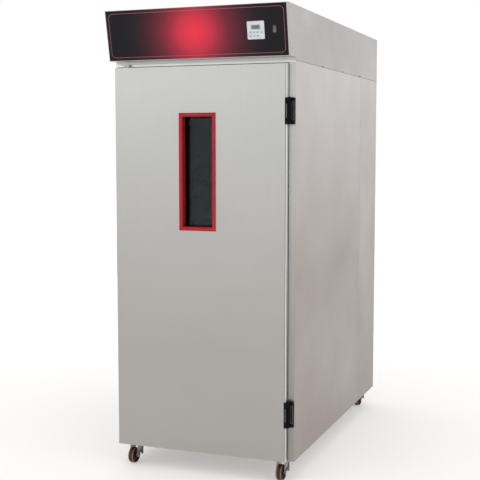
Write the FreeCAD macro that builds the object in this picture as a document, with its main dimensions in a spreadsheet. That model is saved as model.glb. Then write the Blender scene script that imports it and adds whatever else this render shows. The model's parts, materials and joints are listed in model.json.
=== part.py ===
import FreeCAD, Part
import os
import re
import Sketcher

# Retarder proofer: a tall insulated cabinet on casters, with one door and a leaning control header.
# X runs to the right, Y from front to back, Z up from the floor. Places are written from the plane
# of the door frame's front (Y) and the middle of the cabinet (X); place() then moves them so that
# the origin lies on the floor under the middle of the whole object.

# Driving dimensions, in millimetres and degrees
sizes = {
    # cabinet
    "cabinetWidth": 907, "cabinetDepth": 1600, "bodyHeight": 1856,
    "sheet": 1.2, "floorSheet": 1.5, "insulation": 50, "frameDepth": 12,
    "sideSeam": 1212, "seamGap": 1.5, "openingStep": 1.1, "hingeJamb": 16.1,
    # header
    "headerHeight": 244, "overhangTop": 114, "overhangFoot": 68, "soffitRise": 14,
    "fasciaThickness": 3, "fasciaLeftMargin": 3, "fasciaRightMargin": 11, "fasciaLip": 2,
    "fitGap": 0.3, "notchWidth": 34, "notchHeight": 5, "notchFirst": 432, "notchPitch": 373,
    "grilleSlotWidth": 96, "grilleSlotHeight": 7, "grilleRows": 9, "grilleColumns": 6,
    "grilleRowPitch": 18, "grilleColumnPitch": 112,
    "glandInset": 58.5, "glandLevel": 46, "glandReach": 24, "glandRadius": 13, "glandBore": 5.5,
    "glandFlats": 5, "glandThread": 9, "glandTail": 12,
    # controller and rocker switch, placed on the fascia by its distance down the slope
    "controllerInset": 159.5, "controllerDown": 117, "controllerWidth": 81, "controllerHeight": 80,
    "controllerProud": 4, "controllerDepth": 48, "bodyInset": 5, "controllerCorner": 4,
    "displayWidth": 39, "displayHeight": 17, "displayRise": 13.5, "displayDepth": 1.5,
    "keyWidth": 10, "keyHeight": 7, "keyPitch": 17, "keyRowDrop": 9.5, "keyRowPitch": 16,
    "keyWell": 3.2, "keyLength": 3.4, "keyProud": 1.0, "keyCorner": 1.2,
    "rockerInset": 71.5, "rockerDown": 116, "rockerWidth": 15, "rockerLength": 30.4,
    "rockerTilt": 7, "rockerPivot": 5, "rockerGap": 0.5, "rockerEndGap": 1.4,
    "switchBezel": 3, "switchProud": 2, "switchDepth": 26, "switchWall": 1.5,
    # door
    "doorMargin": 7.5, "hingeMargin": 33, "doorFoot": 3, "doorHeadroom": 15, "doorProud": 32,
    "doorGap": 6, "plugDepth": 33, "plugClearance": 5, "doorCorner": 4,
    "gasketWidth": 14, "gasketStep": 3, "gasketCorner": 1.5,
    # window
    "windowX": -18.5, "windowDrop": 493, "windowWidth": 151, "windowHeight": 518,
    "borderWidth": 17.5, "borderProud": 3, "revealDepth": 43, "revealWall": 1.5,
    "paneThickness": 4, "windowFit": 1, "spacerWidth": 8, "paneRim": 4,
    # edge pull
    "pullLevel": 1030, "pullLength": 160, "pullWidth": 22, "pullReach": 24, "pullWall": 1.5,
    # hinges
    "hingeHeight": 120, "hingeFootRise": 222, "hingeHeadDrop": 213, "hingeReach": 9.5, "hingeProud": 24,
    "knuckleRadius": 7.5, "knuckleGap": 0.3, "doorKnuckle": 44, "pinRadius": 4, "runningGap": 0.05,
    "leafThickness": 13, "leafWidth": 26.5, "leafInset": 6, "wrapThickness": 4, "wrapWidth": 7.5,
    "wrapSide": 1.5, "pinHeadRadius": 6, "pinHeadHeight": 3,
    # door switch
    "switchInset": 55, "switchWidth": 28, "switchHeight": 10, "switchReach": 16, "magnetHeight": 8,
    # casters
    "casterInset": 68.5, "casterFront": 45, "casterRearInset": 70, "plateLength": 84, "plateWidth": 64,
    "plateThickness": 3, "wheelRadius": 37.5, "wheelWidth": 30, "wheelHub": 32, "trail": 28,
    "legThickness": 3, "wheelGap": 1.2, "headRadius": 23, "crownGap": 10, "headHeight": 9, "axleRadius": 4,
    "stemRadius": 6, "nutRadius": 7.5, "nutThickness": 5, "boltHole": 4.5, "boltSpacingX": 46,
    "boltSpacingY": 66, "lipWidth": 2.2, "lipHeight": 4, "earReach": 21, "earWidth": 8,
    "raceGap": 1, "raceWall": 2, "raceHeight": 5,
    # chamber fittings
    "ductDepth": 152.6, "ductMargin": 4, "ductFootGap": 37.3, "ductHeadGap": 14.8, "fanDrop": 264.8,
    "fanOpening": 122, "slotRows": 14, "slotPitch": 56, "slotWidth": 150, "slotHeight": 12,
    "slotRise": 140, "slotOffset": 190,
    "postWidth": 30, "postReach": 40, "postWall": 2, "postFront": 70, "postRearGap": 55,
    "slideLevel": 250, "slidePitch": 84, "slideHeadroom": 30, "slideFoot": 34, "slideLip": 26,
    "slideSheet": 2, "slideFront": 40, "slideEndGap": 20,
    "lampLength": 240, "lampWidth": 90, "lampDrop": 38, "lampY": 300,
    "probeX": 250, "probeInset": 145, "probeRadius": 4, "probeDrop": 45, "probeFlange": 14,
    "panWidth": 520, "panDepth": 96, "panHeight": 62, "panWall": 1.5,
    "heaterHalf": 210, "heaterRadius": 4.2, "heaterBend": 22, "heaterLevel": 620, "heaterReach": 66,
    # coils
    "evaporatorWidth": 560, "evaporatorHeight": 320, "evaporatorDepth": 84,
    "evaporatorDrop": 550, "condenserWidth": 420, "condenserHeight": 200,
    "condenserDepth": 60, "condenserInset": 90, "finThickness": 0.8, "finCount": 22,
    "tubeRadius": 5, "tubePitch": 40, "coilEnd": 2,
    # fans
    "motorRadius": 40, "motorLength": 64, "shaftRadius": 4, "shaftLength": 56,
    "hubRadius": 26, "hubLength": 30, "fanRadius": 108, "condenserFanRadius": 86, "bladeCount": 5,
    "bladeChord": 62, "bladeThickness": 2, "bladeCamber": 6, "rootPitch": 48, "tipPitch": 24,
    # compressor and control box
    "compressorX": -170, "compressorInset": 550, "compressorRadius": 88, "compressorHeight": 186,
    "boxX": 150, "boxY": 330, "boxWidth": 260, "boxDepth": 180, "boxHeight": 120,
}

doc = FreeCAD.newDocument("retarder_proofer")
dims = doc.addObject("Spreadsheet::Sheet", "dims")
for row, (name, size) in enumerate(sizes.items(), 1):
    dims.set(f"A{row}", name)
    dims.set(f"B{row}", str(size))
    dims.setAlias(f"B{row}", name)
doc.recompute()

nodes = []


def cells(text):
    # A size's name in the text becomes its cell in the sheet
    return re.sub(r"[A-Za-z]\w*", lambda word: ("dims." if word[0] in sizes else "") + word[0], str(text))


def value(text):
    found = dims.evalExpression(cells(text))
    return float(getattr(found, "Value", found))


# Places that several pieces share, as expressions on the driving dimensions
front_shift = "((overhangTop - cabinetDepth - glandReach)/2)"
crown = "(2*wheelRadius + crownGap + legThickness)"
clearance = f"({crown} + headHeight + plateThickness)"
seam = f"({clearance} + bodyHeight)"
top = f"({seam} + headerHeight)"
side = "(cabinetWidth/2)"
skin = "(cabinetWidth/2 - sheet)"
foam = "(cabinetWidth/2 - sheet - insulation)"
chamber = "(cabinetWidth/2 - 2*sheet - insulation)"
rear_skin = "(cabinetDepth - sheet)"
rear_foam = "(cabinetDepth - sheet - insulation)"
rear_liner = "(cabinetDepth - 2*sheet - insulation)"
floor_foam = f"({clearance} + sheet + insulation)"
floor_level = f"({floor_foam} + floorSheet)"
ceiling_foam = f"({seam} - insulation)"
ceiling = f"({seam} - insulation - sheet)"
deck = f"({seam} + sheet)"
lean = "atan((overhangTop - overhangFoot)/(headerHeight - soffitRise))"
slope = f"((headerHeight - soffitRise)/cos({lean}))"
gland_x = f"({side} - glandInset)"
controller_x = f"({side} - controllerInset)"
display_down = "(controllerDown - displayRise)"
key_row_down = "(controllerDown + keyRowDrop)"
rocker_x = f"({side} - rockerInset)"
opening_left = f"({chamber} - openingStep)"
opening_right = f"({chamber} - hingeJamb)"
door_left = f"({side} - doorMargin)"
door_right = f"({side} - hingeMargin)"
door_low = f"({clearance} + doorFoot)"
door_high = f"({seam} - doorHeadroom)"
window_level = f"({door_high} - windowDrop)"
window_low = f"({window_level} - windowHeight/2)"
window_high = f"({window_level} + windowHeight/2)"
hinge_x = f"({door_right} + hingeReach)"
hinge_low = f"({door_low} + hingeFootRise)"
hinge_high = f"({door_high} - hingeHeadDrop)"
leaf_inner = f"({hinge_x} - leafInset)"
leaf_outer = f"({leaf_inner} + leafWidth)"
switch_x = f"(switchInset - {door_left})"
caster_x = f"({side} - casterInset)"
caster_rear = "(cabinetDepth - casterRearInset)"
duct_front = f"({rear_liner} - ductDepth)"
duct_foot = f"({floor_level} + ductFootGap)"
duct_head = f"({ceiling} - ductHeadGap)"
fan_level = f"({ceiling} - fanDrop)"
slot_first = f"({duct_foot} + slotRise)"
post_pitch = f"(({duct_front} - postFront - postWidth - postRearGap)/2)"
slide_rear = f"({duct_front} - slideEndGap)"
slide_count = f"(floor(({ceiling} - slideHeadroom - slideLevel)/slidePitch) + 1)"
probe_y = f"({duct_front} - probeInset)"
evaporator_level = f"({fan_level} - evaporatorDrop)"
condenser_y = "(cabinetDepth - condenserInset)"
compressor_y = "(cabinetDepth - compressorInset)"


# Helpers for placing and for primitives
def keep(item):
    nodes.append(item)
    return item


def bind(item, **expressions):
    for name, text in expressions.items():
        item.setExpression(name, cells(text))


def place(item, x="0", y="0", z="0"):
    for axis, text in zip("xyz", (x, f"{front_shift} + {y}", z)):
        item.setExpression(f"Placement.Base.{axis}", cells(text))
    return item


def place_on_fascia(item, x="0", down="0", inward="0", tilt="0"):
    # x along the fascia, down its slope from the top edge, inward square to its face
    item.Placement = FreeCAD.Placement(FreeCAD.Vector(), FreeCAD.Rotation(FreeCAD.Vector(1, 0, 0), 1))
    item.setExpression("Placement.Rotation.Angle", cells(f"{lean} + {tilt} * 1 deg"))
    y = f"-overhangTop + ({down})*sin({lean}) + ({inward})*cos({lean})"
    z = f"{top} - ({down})*cos({lean}) + ({inward})*sin({lean})"
    return place(item, x, y, z)


def add(kind, name):
    item = doc.addObject(kind, name)
    item.Label = name
    return item


def box(name, low, high):
    item = add("Part::Box", name)
    bind(item, Length=f"{high[0]} - ({low[0]})", Width=f"{high[1]} - ({low[1]})",
         Height=f"{high[2]} - ({low[2]})")
    return place(item, *low)


def rod(name, radius, start, length, axis="Z"):
    turns = {"X": ((0, 1, 0), 90), "Y": ((1, 0, 0), -90), "Z": ((0, 0, 1), 0)}
    item = add("Part::Cylinder", name)
    direction, angle = turns[axis]
    item.Placement.Rotation = FreeCAD.Rotation(FreeCAD.Vector(*direction), angle)
    bind(item, Radius=radius, Height=length)
    return place(item, *start)


def join(name, parts):
    item = add("Part::MultiFuse", name)
    item.Shapes = parts
    return item


def group(name, parts):
    item = add("Part::Compound", name)
    item.Links = parts
    return item


def cut(name, base, tools):
    item = add("Part::Cut", name)
    item.Base = base
    item.Tool = tools[0] if len(tools) == 1 else group(name + "_cuts", tools)
    return item


# Helpers for bodies made from sketches
def new_body(name):
    body = add("PartDesign::Body", name)
    body.AllowCompound = True
    return body


def origin(body, role):
    return next(item for item in body.Origin.OriginFeatures if item.Role == role)


def new_sketch(body, plane, offset="0"):
    sketch = body.newObject("Sketcher::SketchObject", body.Label + "_sketch")
    sketch.AttachmentSupport = (origin(body, plane + "_Plane"), [""])
    sketch.MapMode = "FlatFace"
    sketch.setExpression("AttachmentOffset.Base.z", cells(offset))
    return sketch


def outline(sketch, corners):
    # A closed line through the corners; each corner's two places are bound to expressions
    first = sketch.GeometryCount
    count = len(corners)
    points = [FreeCAD.Vector(value(x), value(y), 0) for x, y in corners]
    for i, point in enumerate(points):
        sketch.addGeometry(Part.LineSegment(point, points[(i + 1) % count]), False)
    for i in range(count):
        sketch.addConstraint(Sketcher.Constraint("Coincident", first + i, 2, first + (i + 1) % count, 1))
    for i, corner in enumerate(corners):
        for kind, text in zip(("DistanceX", "DistanceY"), corner):
            number = sketch.addConstraint(Sketcher.Constraint(kind, -1, 1, first + i, 1, value(text)))
            sketch.setExpression(f"Constraints[{number}]", cells(text))


def ring(sketch, x, y, radius):
    index = sketch.addGeometry(Part.Circle(FreeCAD.Vector(value(x), value(y), 0),
                                           FreeCAD.Vector(0, 0, 1), value(radius)), False)
    for kind, text in (("DistanceX", x), ("DistanceY", y)):
        number = sketch.addConstraint(Sketcher.Constraint(kind, -1, 1, index, 3, value(text)))
        sketch.setExpression(f"Constraints[{number}]", cells(text))
    number = sketch.addConstraint(Sketcher.Constraint("Radius", index, value(radius)))
    sketch.setExpression(f"Constraints[{number}]", cells(radius))


def rectangle(x0, y0, x1, y1):
    return [(x0, y0), (x1, y0), (x1, y1), (x0, y1)]


def feature(body, kind, sketch, length, reverse=False, both=False):
    item = body.newObject("PartDesign::" + kind, body.Label + "_" + kind.lower())
    item.Profile = sketch
    item.Reversed = reverse
    item.SideType = "Symmetric" if both else "One side"
    bind(item, Length=length)
    return item


def pad(body, sketch, length, **sides):
    return feature(body, "Pad", sketch, length, **sides)


def pocket(body, sketch, length, **sides):
    # The volume shows whether the pocket meets the solid
    doc.recompute()
    before = body.Shape.Volume
    item = feature(body, "Pocket", sketch, length, **sides)
    doc.recompute()
    if body.Shape.Volume > before - 0.1:
        raise RuntimeError(f"a pocket in {body.Label} cuts nothing")
    return item


def plate(name, plane, corners, thickness, holes=(), at=("0", "0", "0"), **sides):
    body = new_body(name)
    sketch = new_sketch(body, plane)
    outline(sketch, corners)
    for hole in holes:
        outline(sketch, hole)
    pad(body, sketch, thickness, **sides)
    place(body, *at)
    return body


def round_edges(body, radius, pick, kind="Fillet"):
    doc.recompute()
    last = body.Tip
    names = [f"Edge{i}" for i, edge in enumerate(last.Shape.Edges, 1) if pick(edge)]
    item = body.newObject("PartDesign::" + kind, body.Label + "_" + kind.lower())
    item.Base = (last, names)
    bind(item, **({"Radius": radius} if kind == "Fillet" else {"Size": radius}))
    return item


def repeat(body, last, axis, pitch, count):
    item = body.newObject("PartDesign::LinearPattern", body.Label + "_pattern")
    item.Originals = [last]
    item.Direction = (origin(body, axis + "_Axis"), [""])
    item.Mode = "Spacing"
    bind(item, Offset=pitch, Occurrences=count)
    body.Tip = item
    return item


def turn_about(body, last, axis, count):
    item = body.newObject("PartDesign::PolarPattern", body.Label + "_pattern")
    item.Originals = [last]
    item.Axis = (origin(body, axis + "_Axis"), [""])
    item.Angle = 360
    bind(item, Occurrences=count)
    body.Tip = item
    return item


def along(edge, axis):
    # True for a straight edge that runs along the axis
    direction = edge.Vertexes[-1].Point - edge.Vertexes[0].Point
    return direction.Length > 0 and abs(getattr(direction.normalize(), axis)) > 0.999


# Cabinet shell: sheets, foam and liner
def make_shell():
    keep(plate("base_sheet", "XY", rectangle(f"-{skin}", "0", skin, rear_skin), "sheet",
               at=("0", "0", clearance)))
    low, high = clearance, f"({seam} - seamGap)"
    for name, x in (("left", f"-{side}"), ("right", skin)):
        keep(plate(f"{name}_front_sheet", "YZ", rectangle("0", low, "sideSeam", high), "sheet",
                   at=(x, "0", "0")))
        keep(plate(f"{name}_rear_sheet", "YZ",
                   rectangle("sideSeam + seamGap", low, "cabinetDepth", high), "sheet", at=(x, "0", "0")))
    keep(plate("back_sheet", "XZ", rectangle(f"-{skin}", low, skin, high), "sheet",
               at=("0", rear_skin, "0"), reverse=True))
    slabs = [
        box("left_slab", (f"-{skin}", "frameDepth", f"{clearance} + sheet"), (f"-{foam}", rear_skin, seam)),
        box("right_slab", (foam, "frameDepth", f"{clearance} + sheet"), (skin, rear_skin, seam)),
        box("floor_slab", (f"-{foam}", "frameDepth", f"{clearance} + sheet"), (foam, rear_skin, floor_foam)),
        box("ceiling_slab", (f"-{foam}", "frameDepth", ceiling_foam), (foam, rear_skin, seam)),
        box("back_slab", (f"-{foam}", rear_foam, floor_foam), (foam, rear_skin, ceiling_foam)),
    ]
    keep(group("insulation_slabs", slabs))
    liners = [
        box("left_liner", (f"-{foam}", "frameDepth", floor_foam), (f"-{chamber}", rear_foam, ceiling_foam)),
        box("right_liner", (chamber, "frameDepth", floor_foam), (foam, rear_foam, ceiling_foam)),
        box("ceiling_liner", (f"-{chamber}", "frameDepth", ceiling), (chamber, rear_foam, ceiling_foam)),
        box("back_liner", (f"-{chamber}", rear_liner, floor_foam), (chamber, rear_foam, ceiling)),
        box("floor_liner", (f"-{chamber}", "frameDepth", floor_foam), (chamber, rear_liner, floor_level)),
    ]
    keep(group("chamber_liner", liners))
    opening = rectangle(f"-{opening_left}", floor_level, opening_right, ceiling)
    keep(plate("door_frame", "XZ", rectangle(f"-{skin}", f"{clearance} + sheet", skin, seam),
               "frameDepth", holes=[opening], reverse=True))


# Header: base, cover, rear grille and fascia, with the cut-outs that the controller and the switch fill
fascia_cut_outs = (
    ("controller", controller_x, "controllerDown", "controllerWidth - 2*bodyInset",
     "controllerHeight - 2*bodyInset"),
    ("rocker", rocker_x, "rockerDown", "rockerWidth + 2*rockerGap + 2*switchWall",
     "rockerLength + 2*rockerEndGap + 2*switchWall"),
)


def make_header():
    wall = "(fasciaThickness + sheet)"
    soffit = f"({seam} + soffitRise)"
    lip = f"(-overhangFoot + {wall}/cos({lean}) + fitGap)"
    base = [(rear_skin, seam), ("0", seam), ("0", soffit), (lip, soffit), (lip, f"{soffit} + sheet"),
            ("sheet", f"{soffit} + sheet"), ("sheet", deck), (rear_skin, deck)]
    keep(plate("header_base", "YZ", base, f"2*{skin}", both=True))

    cover = new_body("cover_shell")
    shape = new_sketch(cover, "YZ")
    outline(shape, [("0", seam), ("0", soffit), ("-overhangFoot", soffit), ("-overhangTop", top),
                    ("cabinetDepth", top), ("cabinetDepth", seam)])
    pad(cover, shape, "cabinetWidth", both=True)
    hollow = new_sketch(cover, "YZ")
    low, high = f"({seam} - 1)", f"({top} - sheet)"
    edge = f"-overhangFoot + {wall}/cos({lean})"
    outline(hollow, [("cabinetDepth + 1", low), (f"{edge} + (soffitRise + 1)*tan({lean})", low),
                     (f"{edge} - ({high} - {soffit})*tan({lean})", high), ("cabinetDepth + 1", high)])
    pocket(cover, hollow, f"2*{skin}", both=True)
    place(cover)

    recess = add("Part::Box", "fascia_recess")
    bind(recess, Length="cabinetWidth - fasciaLeftMargin - fasciaRightMargin", Width="fasciaThickness + 1",
         Height=f"{slope} - 2*fasciaLip")
    place_on_fascia(recess, f"-{side} + fasciaLeftMargin", f"{slope} - fasciaLip", "-1")
    holes = []
    for name, x, down, width, height in fascia_cut_outs:
        hole = add("Part::Box", name + "_hole")
        bind(hole, Length=f"{width} + 2*fitGap", Width=f"{wall} + 4", Height=f"{height} + 2*fitGap")
        place_on_fascia(hole, f"{x} - ({width})/2 - fitGap", f"{down} + ({height})/2 + fitGap", "-2")
        holes.append(hole)
    notches = []
    for i in range(3):
        start = f"notchFirst + {i}*notchPitch - notchWidth/2"
        notches.append(box(f"notch_{i + 1}", (f"-{side} - 1", start, f"{seam} - 1"),
                           (f"{side} + 1", f"{start} + notchWidth", f"{seam} + notchHeight")))
    keep(cut("header_cover", cover, [recess, *holes, *notches]))

    grille = plate("rear_grille", "XZ", rectangle(f"-{skin}", deck, skin, high), "sheet",
                   at=("0", rear_skin, "0"), reverse=True)
    slot = new_sketch(grille, "XZ")
    left = "(-(grilleColumns - 1)*grilleColumnPitch/2 - grilleSlotWidth/2)"
    foot = f"({seam} + headerHeight/2 - (grilleRows - 1)*grilleRowPitch/2 - grilleSlotHeight/2)"
    outline(slot, rectangle(left, foot, f"{left} + grilleSlotWidth", f"{foot} + grilleSlotHeight"))
    first = pocket(grille, slot, "2*sheet", both=True)
    across = repeat(grille, first, "X", "grilleColumnPitch", "grilleColumns")
    many = body_multi(grille, first, across)
    keep(many)

    make_gland(grille)

    fascia = new_body("fascia_panel")
    face = new_sketch(fascia, "XZ")
    outline(face, rectangle(f"-{side} + fasciaLeftMargin + fitGap", f"-{slope} + fasciaLip + fitGap",
                            f"{side} - fasciaRightMargin - fitGap", "-fasciaLip - fitGap"))
    for _, x, down, width, height in fascia_cut_outs:
        outline(face, rectangle(f"{x} - ({width})/2 - fitGap", f"-{down} - ({height})/2 - fitGap",
                                f"{x} + ({width})/2 + fitGap", f"-{down} + ({height})/2 + fitGap"))
    pad(fascia, face, "fasciaThickness", reverse=True)
    keep(place_on_fascia(fascia))


def make_gland(grille):
    # The mains cable's entry: hexagon flats, a domed cap and a threaded tail through the rear sheet
    level = f"({seam} + glandLevel)"
    hole = new_sketch(grille, "XZ")
    ring(hole, f"-{gland_x}", level, "glandThread + fitGap")
    pocket(grille, hole, "3*sheet", both=True)
    gland = new_body("cable_gland")
    flats = new_sketch(gland, "XZ")
    outline(flats, [(f"glandRadius*cos({turn}*1 deg)", f"glandRadius*sin({turn}*1 deg)")
                    for turn in range(0, 360, 60)])
    pad(gland, flats, "glandFlats", reverse=True)
    cap = new_sketch(gland, "XZ", "-glandFlats")
    ring(cap, "0", "0", "glandRadius*0.82")
    pad(gland, cap, "glandReach - glandFlats", reverse=True)
    round_edges(gland, "glandFlats*0.8", lambda edge: edge.Curve.TypeId == "Part::GeomCircle"
                and edge.CenterOfMass.y > value("glandReach") - 0.01)
    tail = new_sketch(gland, "XZ")
    ring(tail, "0", "0", "glandThread")
    pad(gland, tail, "glandTail")
    bore = new_sketch(gland, "XZ", "glandTail")
    ring(bore, "0", "0", "glandBore")
    pocket(gland, bore, "glandTail + glandReach")
    keep(place(gland, f"-{gland_x}", "cabinetDepth", level))


def body_multi(body, first, across):
    # Rows and columns of one cut: the row pattern repeated up the sheet
    many = body.newObject("PartDesign::MultiTransform", body.Label + "_grid")
    many.Originals = [first]
    rows = body.newObject("PartDesign::LinearPattern", body.Label + "_rows")
    rows.Direction = (origin(body, "Z_Axis"), [""])
    rows.Mode = "Spacing"
    bind(rows, Offset="grilleRowPitch", Occurrences="grilleRows")
    across.Originals = []
    many.Transformations = [across, rows]
    body.Tip = many
    return body


# Controller with its display and keys, and the rocker switch
def centred(x, down, width, height):
    return rectangle(f"{x} - ({width})/2", f"-({down}) - ({height})/2",
                     f"{x} + ({width})/2", f"-({down}) + ({height})/2")


key_places = [(f"({controller_x} + ({column} - 1.5)*keyPitch)", f"({key_row_down} + {row}*keyRowPitch)")
              for row, columns in ((0, 4), (1, 3)) for column in range(columns)]


def make_controller():
    housing = new_body("controller_housing")
    face = new_sketch(housing, "XZ")
    outline(face, centred(controller_x, "controllerDown", "controllerWidth", "controllerHeight"))
    pad(housing, face, "controllerProud")
    round_edges(housing, "controllerCorner", lambda edge: along(edge, "y"))
    round_edges(housing, "controllerProud/4",
                lambda edge: abs(edge.CenterOfMass.y + sizes["controllerProud"]) < 0.01)
    behind = new_sketch(housing, "XZ")
    outline(behind, centred(controller_x, "controllerDown", "controllerWidth - 2*bodyInset",
                            "controllerHeight - 2*bodyInset"))
    pad(housing, behind, "controllerDepth", reverse=True)
    recess = new_sketch(housing, "XZ", "controllerProud")
    outline(recess, centred(controller_x, display_down, "displayWidth", "displayHeight"))
    pocket(housing, recess, "displayDepth")
    wells = new_sketch(housing, "XZ", "controllerProud")
    for x, down in key_places:
        outline(wells, centred(x, down, "keyWidth + 2*fitGap", "keyHeight + 2*fitGap"))
    pocket(housing, wells, "keyWell")
    keep(place_on_fascia(housing))

    display = new_body("controller_display")
    lens = new_sketch(display, "XZ", "controllerProud - displayDepth")
    outline(lens, centred(controller_x, display_down, "displayWidth - fitGap",
                          "displayHeight - fitGap"))
    pad(display, lens, "displayDepth")
    keep(place_on_fascia(display))

    for number, (x, down) in enumerate(key_places, 1):
        key = new_body(f"key_{number}")
        cap = new_sketch(key, "XZ")
        outline(cap, centred("0", "0", "keyWidth", "keyHeight"))
        pad(key, cap, "keyLength", reverse=True)
        round_edges(key, "keyCorner", lambda edge: along(edge, "y"))
        keep(place_on_fascia(key, x, down, "-controllerProud - keyProud"))


def make_rocker_switch():
    housing = new_body("rocker_housing")
    inner = ("rockerWidth + 2*rockerGap", "rockerLength + 2*rockerEndGap")
    outer = (f"{inner[0]} + 2*switchBezel", f"{inner[1]} + 2*switchBezel")
    face = new_sketch(housing, "XZ")
    outline(face, centred(rocker_x, "rockerDown", *outer))
    pad(housing, face, "switchProud")
    round_edges(housing, "switchProud/2",
                lambda edge: abs(edge.CenterOfMass.y + sizes["switchProud"]) < 0.01)
    behind = new_sketch(housing, "XZ")
    outline(behind, centred(rocker_x, "rockerDown", f"{inner[0]} + 2*switchWall",
                            f"{inner[1]} + 2*switchWall"))
    pad(housing, behind, "switchDepth", reverse=True)
    well = new_sketch(housing, "XZ", "switchProud")
    outline(well, centred(rocker_x, "rockerDown", *inner))
    pocket(housing, well, "switchProud + switchDepth/2")
    keep(place_on_fascia(housing))

    rocker = new_body("rocker")
    shape = new_sketch(rocker, "YZ")
    half = "(rockerLength/2)"
    outline(shape, [("-1.5*rockerPivot", half), ("-1.1*rockerPivot", "0"), ("-1.5*rockerPivot", f"-{half}"),
                    ("0", f"-{half}"), ("rockerPivot", f"-0.4*{half}"), ("rockerPivot", f"0.4*{half}"),
                    ("0", half)])
    pad(rocker, shape, "rockerWidth", both=True)
    round_edges(rocker, "rockerPivot/6", lambda edge: along(edge, "x") and edge.CenterOfMass.y < -1)
    keep(place_on_fascia(rocker, rocker_x, "rockerDown", "rockerPivot", "-rockerTilt"))


# Door: pan, core, liner, seal, window, pull and magnet
def window_outline(margin):
    # The clear window, grown on every side by the margin
    return rectangle(f"windowX - windowWidth/2 - ({margin})", f"{window_low} - ({margin})",
                     f"windowX + windowWidth/2 + ({margin})", f"{window_high} + ({margin})")


def plug_outline(inset):
    # The door's inner step, clear of the opening on every side and shrunk by the inset
    return rectangle(f"-{opening_left} + plugClearance + {inset}", f"{floor_level} + plugClearance + {inset}",
                     f"{opening_right} - plugClearance - ({inset})", f"{ceiling} - plugClearance - ({inset})")


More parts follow.
